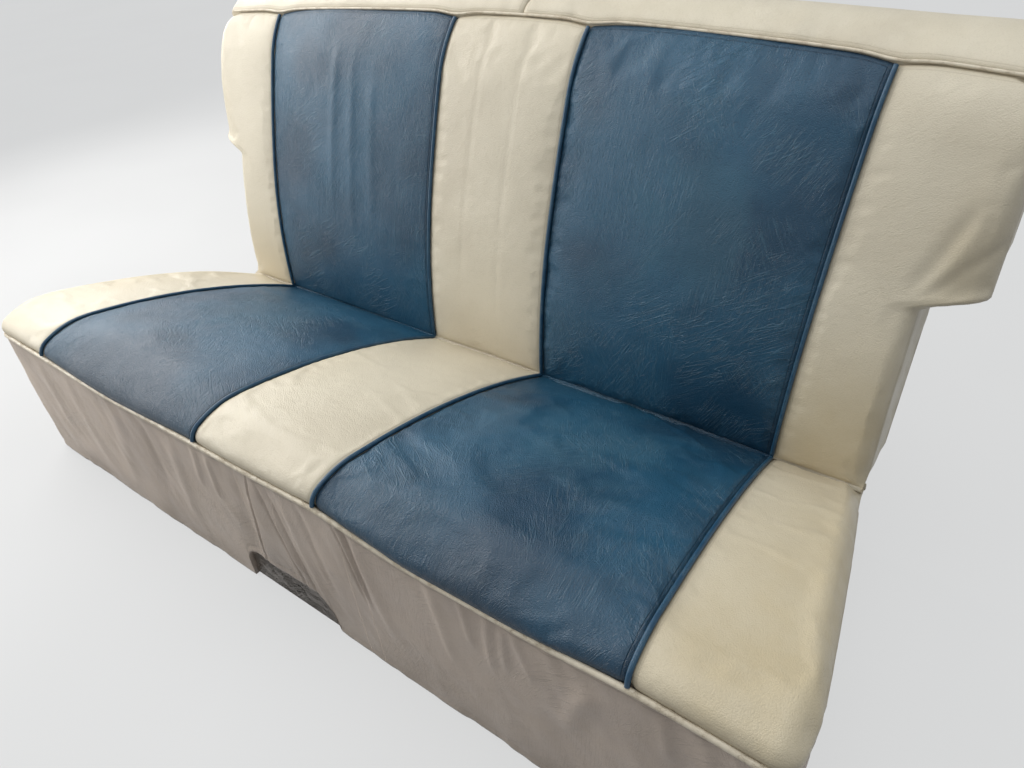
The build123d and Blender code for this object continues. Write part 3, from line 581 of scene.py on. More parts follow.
# where the cover goes on round behind the crease
heel = {
    "cushion": arcThrough((0.1195, 0.150), (0.1168, 0.1605), (0.111, 0.166), 10),
    "back": arcThrough((0.1185, 0.1655), (0.1095, 0.168), (0.106, 0.175), 10),
}


def withHeel(line, extra):
    # shares behind the crease are below 0
    steps = np.linalg.norm(np.diff(extra, axis=0), axis=1)
    back = np.cumsum(steps[::-1])[::-1]
    line.along = np.concatenate([-back, line.along])
    line.line = np.vstack([extra[:-1], line.line])
    line.heel = -back[0] / line.length


withHeel(cushionLine, heel["cushion"])
withHeel(backLine, heel["back"])


def cushionHalf(y):
    crease = seat["creaseToBelly"][0][0]
    return seat["creaseHalf"] + seat["frontWider"] * np.clip((crease - y) / seat["frontRun"], 0, 1)


seamSag = {"deep": 0.0035, "reach": 0.03}  # the top seam's dip where a panel's seam meets it


def topSeamHeight(x):
    dips = [np.exp(-(((np.abs(x) - seams[key]) / seamSag["reach"]) ** 2)) for key in ("innerTop", "outerTop")]
    sag = seamSag["deep"] * (dips[0] + dips[1])
    return seat["topSeam"][1] - seat["topSeamDrop"] * (x / seat["wingHalf"]) ** 2 - sag


def wingEdge(z, top):
    # half width of the back at a height: narrow by the armrest, then out to the wing, round at its top
    wider = smoothStep(seat["wingStart"], seat["wingFull"], z)
    wide = seat["lowHalf"] + (seat["wingHalf"] - seat["lowHalf"]) * wider
    lift = np.clip((z - (top - seat["wingRound"])) / seat["wingRound"], 0, 1)
    return wide - seat["wingRound"] * (1 - np.sqrt(np.maximum(1 - lift**2, 0)))


# how the front welt wanders up and down, at places across
waveTable = np.array([
    (-0.735, -0.004), (-0.55, -0.010), (-0.367, -0.016), (-0.239, -0.009), (-0.132, -0.005),
    (-0.009, -0.002), (0.073, 0.002), (0.135, 0.005), (0.179, -0.001), (0.238, -0.006),
    (0.292, -0.010), (0.34, -0.008), (0.399, -0.006), (0.453, -0.005), (0.504, -0.001),
    (0.551, 0.004), (0.58, 0.006), (0.636, 0.007), (0.735, 0.003),
])


def frontWave(x):
    spread = np.array([-0.03, -0.015, 0, 0.015, 0.03])
    return np.mean([np.interp(x + d, waveTable[:, 0], waveTable[:, 1]) for d in spread], axis=0)


def frontLift(x, share, wave):
    # the wave takes hold over the cushion's last part
    return wave * frontWave(x) * smoothStep(0.78, 1.0, share)


def tuck(drop, distance, rounding):
    # how far a cover is drawn in beside a seam
    return drop * np.exp(-((distance / rounding) ** 1.5))


def puckers(s, distance, facts, seed):
    # short ripples across a seam that die out into the panel
    rate = facts["puckerRate"]
    ripple = softNoise(s, distance * 0.15, rate, seed)
    ripple = ripple + 0.5 * softNoise(s, distance * 0.2, rate * 2.1, seed + 5)
    return ripple * facts["pucker"] * np.exp(-distance / facts["puckerReach"])


def dressed(share, x, leftX, rightX, s, facts, seed):
    # height of the cover over its line, and how far it is from its side seams
    u = (x - leftX) / (rightX - leftX)
    distance = np.minimum(x - leftX, rightX - x)
    v = np.clip(share, 0, 1)
    crown = facts["crown"] * np.sin(np.pi * (0.02 + 0.93 * v)) ** 0.7 * (1 - np.abs(2 * u - 1) ** 2.3)
    height = crown - tuck(facts["seamDrop"], distance, facts["seamRound"])
    height = height + puckers(s, x - leftX, facts, seed) + puckers(s, rightX - x, facts, seed + 9)
    for swell, rate, reach, more in ((facts["swell"], 7, 0.05, 2), (facts["swell"] * 0.4, 21, 0.03, 3)):
        height = height + swell * softNoise(x + 3, s + 5, rate, seed + more) * np.clip(distance / reach, 0, 1)
    for dentX, dentS, wide, long, depth in facts["dents"]:
        height = height - depth * np.exp(-(((x - dentX) / wide) ** 2) - ((s - dentS) / long) ** 2)
    return height + foldHeight(x, s, facts["folds"]), distance


def blots(x, s, level, places):
    # soft oval marks over an even level: x, s, half widths both ways, strength
    total = np.full_like(x, level)
    for blotX, blotS, wide, long, strength in places:
        total += strength * np.exp(-(((x - blotX) / wide) ** 2) - ((s - blotS) / long) ** 2)
    return np.clip(total, 0, 1)


plain = {
    "crown": 0.007, "seamDrop": 0.0042, "seamRound": 0.0048, "endDrop": 0.003, "endRound": 0.005,
    "pucker": 0.0005, "puckerReach": 0.016, "puckerRate": 55, "swell": 0.0009, "dents": [], "folds": [],
    "stainsAndShade": [], "worn": [], "wear": 0.25, "thick": 0.011, "topGap": 0.0015, "mesh": 0.0042,
    "shrink": -0.004, "pressure": 1.0, "cap": 0.0015,
}
blueCover = {"pucker": 0.0009, "swell": 0.0012, "shrink": -0.009, "pressure": 1.2, "cap": 0.0022}


def stripPanel(name, line, left, right, facts, material, node, slot, topOf=None, wave=0.0, seed=1):
    # one sewn panel between two seams, closed underneath
    facts = {**plain, **facts}
    columns = int(max(12, round((right(1.0) - left(1.0)) / facts["mesh"])))
    rows = int(round(line.length / facts["mesh"]))
    v = np.linspace(line.heel, 1, rows)[:, None]
    u = 0.5 - 0.5 * np.cos(np.linspace(0, np.pi, columns))  # a little finer at the seams
    u = (0.35 * u + 0.65 * np.linspace(0, 1, columns))[None, :]
    far = np.clip(v, 0, 1)
    leftX, rightX = left(far), right(far)
    x = leftX + (rightX - leftX) * u
    share = np.broadcast_to(v, x.shape).copy()
    if topOf is not None:
        end = line.shareAtHeight(topOf(x) - facts["topGap"])
        share = np.where(share > 0, share * end, share)
    s = share * line.length
    spots, out = line.spot(share), line.facing(share)
    height, distance = dressed(share, x, leftX, rightX, s, facts, seed)
    ends = np.abs(1 - v) * line.length
    height = height - tuck(facts["endDrop"], ends, facts["endRound"])
    lift = frontLift(x, share, wave)
    top = np.concatenate([x[..., None], spots + out * height[..., None]], -1)
    top[..., 2] += lift
    pinned = pins(distance, np.minimum(ends, (v - line.heel) * line.length))
    top = relaxed(name, top, pinned, facts)
    under = np.concatenate([x[..., None], spots - out * facts["thick"]], -1)
    under[..., 2] += lift
    marks = marksFor(
        x.shape, across=x, along=s + facts["shift"], seamNear=nearness(np.minimum(distance, ends + 0 * x)),
        wear=blots(x, s, facts["wear"], facts["worn"]), stain=blots(x, s, 0.0, facts["stainsAndShade"]),
    )
    coverPiece(name, *closedSlab(top, under), material, marks, node, slot, 0.8)


# panels of the cushion and the back; s runs from the crease to the front or the top along the cover
cushionFacts = {
    "centre": {
        "crown": 0.006, "stainsAndShade": [(-0.1, 0.30, 0.05, 0.12, 0.12)], "wear": 0.2, "cap": 0.0008,
        "pucker": 0.0004,
    },
    "blueRight": {
        **blueCover, "crown": 0.013, "dents": [(0.34, 0.20, 0.16, 0.14, 0.003)],
        # the oval across the front roll is painted shade
        "worn": [(0.36, 0.22, 0.14, 0.16, 0.4)], "stainsAndShade": [(0.34, 0.535, 0.40, 0.065, 0.75)],
    },
    "blueLeft": {
        **blueCover, "crown": 0.013, "dents": [(-0.34, 0.20, 0.16, 0.14, 0.003)],
        # the oval across the front roll is painted shade
        "worn": [(-0.36, 0.2, 0.14, 0.16, 0.4)], "stainsAndShade": [(-0.34, 0.535, 0.40, 0.065, 0.75)],
    },
    "outerRight": {"crown": 0.004, "stainsAndShade": [(0.69, 0.32, 0.13, 0.36, 0.6), (0.64, 0.47, 0.09, 0.06, 0.2)]},
    "outerLeft": {"crown": 0.004, "stainsAndShade": [(-0.70, 0.25, 0.07, 0.3, 0.4)]},
}
backFacts = {
    "centre": {
        "crown": 0.005,
        "folds": [
            (-0.045, 0.10, -0.04, 0.52, 0.004, -0.0007), (0.03, 0.06, 0.036, 0.50, 0.004, -0.0006),
        ],
    },
    "blueRight": {
        **blueCover, "crown": 0.012,
        "worn": [(0.40, 0.31, 0.030, 0.055, 0.9), (0.33, 0.3, 0.12, 0.18, 0.3)],
    },
    "blueLeft": {
        **blueCover, "crown": 0.012,
        "folds": [
            (-0.36, 0.22, -0.37, 0.50, 0.010, 0.003), (-0.31, 0.18, -0.325, 0.48, 0.010, 0.003),
            (-0.26, 0.2, -0.27, 0.46, 0.010, 0.0022),
        ],
    },
    "outerRight": {
        "crown": 0.003, "stainsAndShade": [(0.62, 0.06, 0.12, 0.12, 0.6), (0.70, 0.3, 0.03, 0.1, 0.35)],
        "folds": [
            (0.650, 0.285, 0.700, 0.400, 0.010, -0.0035), (0.665, 0.280, 0.735, 0.360, 0.008, -0.0030),
        ],
    },
    "outerLeft": {"crown": 0.003, "stainsAndShade": [(-0.62, 0.05, 0.12, 0.07, 0.3)]},
}


def across(crease, far, side=1):
    return lambda v: side * (crease + (far - crease) * np.asarray(v, float))


# the two seams of each part, and what its panels share
covers = {
    "cushion": {
        "line": cushionLine, "inner": (seams["innerCrease"], seams["innerFront"]),
        "outer": (seams["outerCrease"], seams["outerFront"]), "facts": cushionFacts, "shift": 2.0,
        "firstSeed": 0, "ending": {"wave": 1.0},
    },
    "back": {
        "line": backLine, "inner": (seams["innerCrease"], seams["innerTop"]),
        "outer": (seams["outerCrease"], seams["outerTop"]), "facts": backFacts, "shift": 3.0,
        "firstSeed": 20, "ending": {"topOf": topSeamHeight},
    },
}
for part, cover in covers.items():
    inner, outer = cover["inner"], cover["outer"]
    for name, node, left, right, material, slot in (
        ("centre", "centre", across(*inner, -1), across(*inner), creamVinyl, "cream_vinyl"),
        ("blueRight", "blue_right", across(*inner), across(*outer), blueVinyl, "blue_vinyl"),
        ("blueLeft", "blue_left", across(*outer, -1), across(*inner, -1), blueVinyl, "blue_vinyl"),
    ):
        facts = {"shift": cover["shift"], **cover["facts"][name]}
        stripPanel(
            part + "Cover_" + name, cover["line"], left, right, facts, material, part + "_panel_" + node,
            slot, seed=cover["firstSeed"] + len(name), **cover["ending"],
        )
print("inner panels sewn")

outerShape = {
    "cushionRoll": 0.026, "backRoll": 0.020, "lip": 0.004, "fanCentre": (-0.348, 0.273), "flatColumns": 34,
    "rollColumns": 12, "lipColumns": 4,
}
# over the armrest the wing turns away from the sitter
wingTurn = {
    "back": 0.020, "start": 0.662, "run": 0.075, "lean": 0.40, "leanFrom": 0.46, "low": 0.43, "high": 0.475,
}


def wingAhead(x, z):
    # how far the wing's turn takes its face back
    reach = x - wingTurn["start"] - wingTurn["lean"] * np.clip(z - wingTurn["leanFrom"], 0, 1)
    turned = smoothStep(0.0, wingTurn["run"], reach)
    return wingTurn["back"] * turned * smoothStep(wingTurn["low"], wingTurn["high"], z)


def upAt(line, share):
    # across the line, but fanned round a point inside the nose near the cushion's front
    spots, up = line.spot(share), line.facing(share)
    if line is cushionLine:
        fan = units(spots - np.array(outerShape["fanCentre"]))
        turn = smoothStep(0.74, 0.90, share)[..., None]
        up = units(up * (1 - turn) + fan * turn)
    return spots, up


def outerPanel(name, line, side, seamOf, halfOf, roll, facts, node, topOf=None, wave=0.0, seed=1):
    # a panel whose outer edge rolls over the side
    facts = {**plain, **facts}
    rows = int(round(line.length / facts["mesh"]))
    flat, bent, lipped = outerShape["flatColumns"], outerShape["rollColumns"], outerShape["lipColumns"]
    v = np.linspace(line.heel, 1, rows)[:, None]
    share = v.copy()
    if topOf is not None:
        share = np.where(v > 0, v * line.shareAtHeight(topOf(0.6) - facts["topGap"]), v)
    spots, up = upAt(line, share[:, 0])
    half = halfOf(spots)[:, None]
    left = seamOf(np.clip(v, 0, 1))
    bend = half - roll
    flatX = left + (bend - left) * (np.linspace(0, 1, flat)[None, :] ** 1.15)
    turn = np.linspace(0, np.pi / 2, bent + 1)[None, 1:]
    deep = np.full((rows, 1), roll + outerShape["lip"])
    if line is cushionLine:  # near the front the lip reaches down to the welt and round the corner
        reach = np.linalg.norm(spots - np.array(outerShape["fanCentre"]), axis=-1)
        drop = (spots[:, 1] - outerShape["fanCentre"][1]) / np.maximum(up[:, 1], 0.05)
        far = np.minimum(np.maximum(roll + outerShape["lip"], drop), reach)
        deep = np.where(share > 0.55, far[:, None], deep)
        deep = np.maximum(deep, roll + 0.0015)
    lipSteps = np.linspace(0, 1, lipped + 1)[None, 1:]
    bentDepth = np.broadcast_to(roll * (1 - np.cos(turn)), (rows, bent))
    depth = np.concatenate([np.zeros((rows, flat)), bentDepth, roll + (deep - roll) * lipSteps], 1)
    a = np.concatenate([flatX, bend + roll * np.sin(turn), half + 0 * lipSteps], 1)
    lean = np.concatenate([np.zeros((1, flat)), turn, np.full((1, lipped), np.pi / 2)], 1)
    s = share * line.length + 0 * a
    if topOf is not None:  # each column ends at the top seam's own height there
        ends = line.shareAtHeight(topOf(np.minimum(a, seat["wingHalf"])) - facts["topGap"])
        share = np.where(v > 0, v * ends, share + 0 * a)
        s = share * line.length
        spots, up = line.spot(share), line.facing(share)
    else:
        spots, up = spots[:, None, :], up[:, None, :]
    along = np.concatenate([flatX, bend + roll * turn, half + roll * 0.57 + (deep - roll) * lipSteps], 1)
    height, _ = dressed(np.clip(share, 0, 1) + 0 * a, along, left, along[:, -1:] + 0.02, s, facts, seed)
    gather = 0.3 + 0.7 * smoothStep(-0.006, 0.035, share)  # drawn in round the heel
    depth, deep, thick = depth * gather, deep * gather[:, :1], facts["thick"] * gather
    if topOf is not None:
        depth = depth + wingAhead(a, spots[..., 1])
    ends = np.abs(1 - v) * line.length
    height = height - tuck(facts["endDrop"], ends, facts["endRound"])
    outUp = -depth + height * np.cos(lean)
    top = np.concatenate([(a + height * np.sin(lean))[..., None], spots + up * outUp[..., None]], -1)
    lift = frontLift(side * a, share, wave)
    top[..., 2] += lift
    edge = np.minimum(along - left, along[:, -1:] - along)
    pinned = pins(edge, np.minimum(ends, (v - line.heel) * line.length))
    top = relaxed(name, top, pinned, facts)
    inUp = -depth - thick * np.cos(lean)
    under = np.concatenate([(a - thick * np.sin(lean))[..., None], spots + up * inUp[..., None]], -1)
    under[..., 2] += lift
    top[..., 0] *= side
    under[..., 0] *= side
    x = side * along
    marks = marksFor(
        a.shape, across=x, along=s + facts["shift"], seamNear=nearness(np.minimum(edge, ends)),
        wear=blots(x, s, facts["wear"], facts["worn"]), stain=blots(x, s, 0.0, facts["stainsAndShade"]),
    )
    coverPiece(name, *closedSlab(top, under), creamVinyl, marks, node, "cream_vinyl", 0.8)


def cushionSide(spots):
    return cushionHalf(spots[..., 0])


def backSide(spots):
    return wingEdge(spots[..., 1], float(topSeamHeight(0.70)))


for label, side in (("Right", 1), ("Left", -1)):
    for part, halfOf, seed in (("cushion", cushionSide, 40), ("back", backSide, 50)):
        cover = covers[part]
        facts = {"shift": cover["shift"], **cover["facts"]["outer" + label]}
        outerPanel(
            part + "Cover_outer" + label, cover["line"], side, across(*cover["outer"]), halfOf,
            outerShape[part + "Roll"], facts, part + "_panel_outer_" + label.lower(), seed=seed + side,
            **cover["ending"],
        )
print("outer panels sewn")


# Geometry Nodes trees
class Grower:
    # short forms for a geometry tree's sockets, nodes and links
    def __init__(self, name, *inputs):
        self.tree = bpy.data.node_groups.new(name, "GeometryNodeTree")
        self.tree.is_modifier = True
        face = self.tree.interface
        face.new_socket("Path", in_out="INPUT", socket_type="NodeSocketGeometry")
        for label, kind, value in inputs:
            face.new_socket(label, in_out="INPUT", socket_type="NodeSocket" + kind).default_value = value
        face.new_socket("Material", in_out="INPUT", socket_type="NodeSocketMaterial")
        face.new_socket("Geometry", in_out="OUTPUT", socket_type="NodeSocketGeometry")
        self.source = self.tree.nodes.new("NodeGroupInput")
        self.end = self.tree.nodes.new("NodeGroupOutput")

    def input(self, name):
        return self.source.outputs[name]

    def node(self, kind, settings=None, **sockets):
        made = self.tree.nodes.new(kind)
        for key, value in (settings or {}).items():
            setattr(made, key, value)
        for key, value in sockets.items():
            socket = made.inputs["ABC".index(key)] if key in "ABC" else made.inputs[key.replace("_", " ")]
            if isinstance(value, bpy.types.NodeSocket):
                self.tree.links.new(value, socket)
            else:
                socket.default_value = value
        return made.outputs[0]

    def curve(self):
        return self.node("GeometryNodeMeshToCurve", Mesh=self.input("Path"))

    def evenSteps(self):
        sockets = {"Curve": self.curve(), "Length": self.input("Spacing")}
        return self.node("GeometryNodeResampleCurve", {"mode": "LENGTH"}, **sockets)

    def onSteps(self, even, thing):
        # one of the thing at each step, its z along the path
        tangent = self.node("GeometryNodeInputTangent")
        turn = self.node("FunctionNodeAlignRotationToVector", {"axis": "Z"}, Vector=tangent)
        return self.node("GeometryNodeInstanceOnPoints", Points=even, Instance=thing, Rotation=turn)

    def close(self, geometry):
        smooth = self.node("GeometryNodeSetShadeSmooth", Geometry=geometry)
        real = self.node("GeometryNodeRealizeInstances", Geometry=smooth)
        dyed = self.node("GeometryNodeSetMaterial", Geometry=real, Material=self.input("Material"))
        self.tree.links.new(dyed, self.end.inputs[0])
        return self.tree


def pipingTree():
    # a round cord whose thickness wanders a little
    sizes = (("Radius", "Float", 0.0025), ("Sides", "Int", 10), ("Uneven", "Float", 0.06))
    grow = Grower("piping", *sizes)
    curve = grow.curve()
    wander = grow.node("ShaderNodeTexNoise", Scale=55.0, Detail=1.0)
    spread = grow.node("ShaderNodeMath", {"operation": "MULTIPLY"}, A=grow.input("Uneven"), B=2.0)
    swing = grow.node("ShaderNodeMath", {"operation": "SUBTRACT"}, A=wander, B=0.5)
    change = grow.node("ShaderNodeMath", {"operation": "MULTIPLY_ADD"}, A=swing, B=spread, C=1.0)
    curve = grow.node("GeometryNodeSetCurveRadius", Curve=curve, Radius=change)
    size = {"Radius": grow.input("Radius"), "Resolution": grow.input("Sides")}
    ring = grow.node("GeometryNodeCurvePrimitiveCircle", **size)
    return grow.close(grow.node("GeometryNodeCurveToMesh", Curve=curve, Profile_Curve=ring, Fill_Caps=True))


def stitchTree():
    # short thread stitches at even steps along a path
    sizes = (("Spacing", "Float", 0.006), ("Half", "Float", 0.0022), ("Thread", "Float", 0.0005))
    grow = Grower("stitches", *sizes)
    even = grow.evenSteps()
    bead = grow.node("GeometryNodeMeshUVSphere", Segments=6, Rings=4, Radius=1.0)
    thread = grow.input("Thread")
    size = grow.node("ShaderNodeCombineXYZ", X=thread, Y=thread, Z=grow.input("Half"))
    shaped = grow.node("GeometryNodeTransform", Geometry=bead, Scale=size)
    return grow.close(grow.onSteps(even, shaped))


def ringTree():
    # wire rings at even steps along a path, each standing across it
    sizes = (("Spacing", "Float", 0.057), ("Ring", "Float", 0.0048), ("Wire", "Float", 0.0009))
    grow = Grower("rings", *sizes)
    even = grow.evenSteps()
    hoop = grow.node("GeometryNodeCurvePrimitiveCircle", Radius=grow.input("Ring"), Resolution=12)
    wire = grow.node("GeometryNodeCurvePrimitiveCircle", Radius=grow.input("Wire"), Resolution=6)
    ring = grow.node("GeometryNodeCurveToMesh", Curve=hoop, Profile_Curve=wire)
    return grow.close(grow.onSteps(even, ring))


def pathObject(name, paths):
    # separate polylines in one mesh
    points, edges = [], []
    for path in paths:
        start = len(points)
        points += [tuple(p) for p in path]
        edges += [(start + k, start + k + 1) for k in range(len(path) - 1)]
    mesh = bpy.data.meshes.new(name)
    mesh.from_pydata(points, edges, [])
    return placed(name, mesh)


def grown(name, paths, tree, values, node=None):
    # runs a tree on paths and keeps the plain mesh
    base = pathObject(name + "Path", paths)
    modifier = base.modifiers.new("grow", "NODES")
    modifier.node_group = tree
    for item in tree.interface.items_tree:
        if item.item_type == "SOCKET" and item.in_out == "INPUT" and item.name in values:
            modifier[item.identifier] = values[item.name]
    base.update_tag()
    mesh = bpy.data.meshes.new_from_object(evaluated(base))
    bpy.data.objects.remove(base)
    mesh.name = name
    seated(placed(name, mesh), node)


piping = pipingTree()
stitching = stitchTree()
pipingFacts = {
    "radius": 0.0031, "lift": 0.0006, "frontRadius": 0.0039, "frontUneven": 0.10, "topRadius": 0.0021,
    "step": 0.006, "heelShare": 0.8, "end": 0.994, "topGap": 0.002,
}


def seamPath(line, seamOf, side, topOf=None, wave=0.0):
    count = int(line.length / pipingFacts["step"])
    v = np.linspace(line.heel * pipingFacts["heelShare"], pipingFacts["end"], count)
    x = side * seamOf(np.clip(v, 0, 1))
    share = v
    if topOf is not None:
        share = np.where(v > 0, v * line.shareAtHeight(topOf(x) - pipingFacts["topGap"]), v)
    points = np.concatenate([x[:, None], line.spot(share) + line.facing(share) * pipingFacts["lift"]], 1)
    points[:, 2] += frontLift(x, share, wave)
    return points


for part, cover in covers.items():
    paths = [
        seamPath(cover["line"], across(*cover[seam]), side, **cover["ending"])
        for seam in ("inner", "outer") for side in (-1, 1)
    ]
    values = {"Radius": pipingFacts["radius"], "Material": blueCord}
    grown(part + "Piping", paths, piping, values, part + "_cords")
print("piping laid")


# front welt: along one side, round the corners and across the front, under the panels' edges
weltFacts = {
    "below": 0.0325, "inside": 0.0030, "sideTop": 0.2715, "sideEnd": -0.345, "height": 0.2705,
    "corner": (0.702, -0.367), "cornerRound": 0.030, "frontHalf": 0.695, "frontY": -0.397,
}


def weltPath():
    facts = weltFacts
    share = np.linspace(0.02, 0.80, 70)
    spots = cushionLine.spot(share) - cushionLine.facing(share) * facts["below"]
    y, z = spots[spots[:, 0] > facts["sideEnd"]].T
    side = np.stack([cushionHalf(y) - facts["inside"], y, np.minimum(z, facts["sideTop"])], 1)
    turn = np.linspace(0, np.pi / 2, 9)
    bendX = facts["corner"][0] + facts["cornerRound"] * np.cos(turn)
    bendY = facts["corner"][1] - facts["cornerRound"] * np.sin(turn)
    bend = np.stack([bendX, bendY, np.full(9, facts["height"])], 1)
    frontX = np.linspace(facts["frontHalf"], 0, 110)
    front = np.stack([frontX, np.full(110, facts["frontY"]), np.full(110, facts["height"])], 1)
    half = np.vstack([side, bend, front])
    points = np.vstack([half, (half * [-1, 1, 1])[::-1][1:]])
    points[:, 2] += frontWave(points[:, 0]) * sideFade(points[:, 1])
    return points


def sideFade(y):
    # the front's wave fades out along the sides
    return smoothStep(-0.30, -0.36, y)


weltValues = {
    "Radius": pipingFacts["frontRadius"], "Uneven": pipingFacts["frontUneven"], "Material": creamCord,
}
grown("frontWelt", [weltPath()], piping, weltValues, "cushion_cord_front")
print("front welt laid")

skirtFacts = {
    "top": 0.2675, "bottom": 0.0015, "thick": 0.006, "bulge": 0.004, "bulgeShare": 0.4, "foldShare": 0.8,
    "rows": 58, "low": -0.006, "high": 0.010,  # least and greatest height of the cloth's folds
    "folds": [  # x, z, x, z, half width, height, how sharp its left side is
        (-0.018, 0.264, -0.046, 0.066, 0.0032, 0.0050), (-0.008, 0.264, -0.036, 0.066, 0.016, 0.0070, 0.9),
        (-0.040, 0.255, -0.066, 0.080, 0.016, -0.0040), (0.006, 0.250, 0.055, 0.050, 0.0032, -0.0034),
        (0.015, 0.220, 0.055, 0.095, 0.0050, 0.0034, 0.5), (0.026, 0.245, 0.076, 0.060, 0.0034, -0.0028),
        (0.045, 0.262, 0.105, 0.040, 0.010, 0.0030, 0.5), (0.085, 0.262, 0.125, 0.090, 0.007, -0.0026, 0.4),
        (0.156, 0.266, 0.191, 0.135, 0.0032, -0.0040), (0.173, 0.266, 0.203, 0.135, 0.0032, -0.0038),
        (0.164, 0.266, 0.198, 0.140, 0.0055, 0.0030), (0.185, 0.262, 0.235, 0.080, 0.011, 0.0036, 0.5),
        (-0.109, 0.262, -0.110, 0.165, 0.006, 0.0036), (-0.139, 0.262, -0.153, 0.180, 0.007, 0.0034),
        (-0.20, 0.255, -0.235, 0.040, 0.016, 0.0036), (-0.29, 0.25, -0.28, 0.10, 0.012, -0.0030),
        (-0.36, 0.250, -0.43, 0.030, 0.020, 0.0036), (0.311, 0.255, 0.337, 0.130, 0.009, 0.0038, 0.5),
        (0.359, 0.258, 0.376, 0.190, 0.006, 0.0036, 0.4), (0.398, 0.260, 0.402, 0.165, 0.0065, 0.0040, 0.4),
        (0.422, 0.258, 0.422, 0.180, 0.0055, 0.0034), (0.437, 0.258, 0.460, 0.190, 0.006, 0.0034),
        (0.530, 0.232, 0.500, 0.130, 0.014, 0.0052, 0.2), (0.611, 0.255, 0.621, 0.190, 0.008, 0.0034),
        (0.655, 0.27, 0.668, 0.12, 0.010, 0.0030), (-0.52, 0.25, -0.50, 0.05, 0.016, 0.0036),
        (-0.62, 0.25, -0.60, 0.08, 0.014, 0.0032),
    ],
    "closeFolds": [(-0.052, 0.0), (0.0, 0.082), (0.150, 0.208)],  # stretches across that have the narrow ones
    "sideFolds": [  # run along the side, z, run, z, half width, height
        (0.06, 0.24, 0.10, 0.05, 0.014, 0.003), (0.19, 0.22, 0.17, 0.05, 0.014, 0.0026),
        (0.33, 0.19, 0.36, 0.04, 0.013, 0.003), (0.43, 0.15, 0.42, 0.03, 0.011, 0.002),
    ],
    "pucker": 0.0022, "puckerRate": 62, "puckerReach": 0.026,
}
tunnel = {"half": 0.1000, "cornerStart": 0.060, "cornerRound": 0.040, "rise": 0.072}


def archEdge(x):
    # lower edge of the front: up over the floor tunnel, with round corners
    reach = np.abs(x)
    corner = np.clip((reach - tunnel["cornerStart"]) / tunnel["cornerRound"], 0, 1)
    rise = tunnel["rise"] - tunnel["cornerRound"] * (1 - np.sqrt(np.maximum(1 - corner**2, 0)))
    opened = np.where(reach < tunnel["half"], rise, 0.0) * smoothStep(0.1012, 0.0992, reach)
    return opened + skirtFacts["bottom"]


def skirtPiece(name, plan, outward, low, high, folds, foldPlaces, node, seed):
    # plan points (x, y) along the cloth, each with its way outwards and its lower and upper edge
    facts = skirtFacts
    t = np.linspace(0, 1, facts["rows"])[:, None]
    z = low + (high - low) * t
    run = np.broadcast_to(runAlong(plan)[None, :], z.shape)
    x = np.broadcast_to(plan[None, :, 0], z.shape)
    height = facts["bulge"] * np.sin(np.pi * np.clip(z / 0.27, 0, 1)) * facts["bulgeShare"]
    height = height + facts["foldShare"] * foldHeight(np.broadcast_to(foldPlaces[None, :], z.shape), z, folds)
    fromTop = high - z
    drift = run + 0.14 * (z - 0.2)  # the puckers lean as the folds do
    ripple = softNoise(drift, z * 0.1, facts["puckerRate"], seed)
    ripple = ripple + 0.8 * softNoise(drift, z * 0.1, facts["puckerRate"] * 0.45, seed + 3)
    fade = np.exp(-fromTop / facts["puckerReach"])
    height = height + ripple * facts["pucker"] * fade * smoothStep(0, 0.004, fromTop)
    height = height + 0.0016 * softNoise(run, z * 0.5, 14, seed + 7)
    height = height + 0.0007 * softNoise(run + z * 0.4, z * 0.4, 60, seed + 8)
    height = height + 0.0010 * np.exp(-(((z - low - 0.004) / 0.004) ** 2))  # the hem and its seam
    height = height - 0.0012 * np.exp(-(((z - low - 0.013) / 0.0015) ** 2))
    height = np.clip(height, facts["low"], facts["high"]) * smoothStep(0, 0.012, fromTop + 0.004)
    flat = np.stack([x, plan[None, :, 1] + 0 * z, z], -1)
    away = np.concatenate([outward, np.zeros((len(plan), 1))], 1)[None]
    place = flat + away * height[..., None]
    under = flat - away * facts["thick"]
    rise = frontWave(x) * smoothStep(0.02, 0.26, z) * sideFade(plan[None, :, 1])
    place[..., 2] += rise
    under[..., 2] += rise
    # darker towards the bottom edge, with random patches
    darkerLow = np.clip(0.55 * np.exp(-(z - low) / 0.045) + 0.18 * softNoise(run, z, 16, seed + 1), 0, 1)
    marks = marksFor(
        z.shape, across=run + 5.0, along=z, seamNear=nearness(fromTop), wear=0.5, stain=darkerLow * 0.8,
    )
    coverPiece(name, *closedSlab(place, under), skirtVinyl, marks, node, "cream_vinyl", 0.4)


def skirtFront():
    # close steps where the narrow folds and the opening's edges are
    closeRuns = [np.arange(start, end, 0.0014) for start, end in skirtFacts["closeFolds"]]
    edges = [-0.1012, -0.1002, -0.0992, 0.0992, 0.1002, 0.1012]
    x = np.unique(np.concatenate([np.arange(-0.704, 0.7041, 0.0040), *closeRuns, edges]))
    turn = np.linspace(0, np.pi / 2, 9)[1:]
    corner = np.stack([0.705 + 0.030 * np.sin(turn), -0.366 - 0.030 * np.cos(turn)], 1)
    corner = np.vstack([corner, [[0.735, -0.3515]]])
    cornerOut = np.vstack([np.stack([np.sin(turn), -np.cos(turn)], 1), [[1.0, 0.0]]])
    middle = np.stack([x, np.full(len(x), -0.396)], 1)
    plan = np.vstack([(corner * [-1, 1])[::-1], middle, corner])
    outward = np.vstack([(cornerOut * [-1, 1])[::-1], np.tile([0.0, -1.0], (len(x), 1)), cornerOut])
    high = np.full(len(plan), skirtFacts["top"])
    skirtPiece(
        "skirtCover_front", plan, outward, archEdge(plan[:, 0]), high, skirtFacts["folds"], plan[:, 0],
        "cushion_skirt_front", 3,
    )


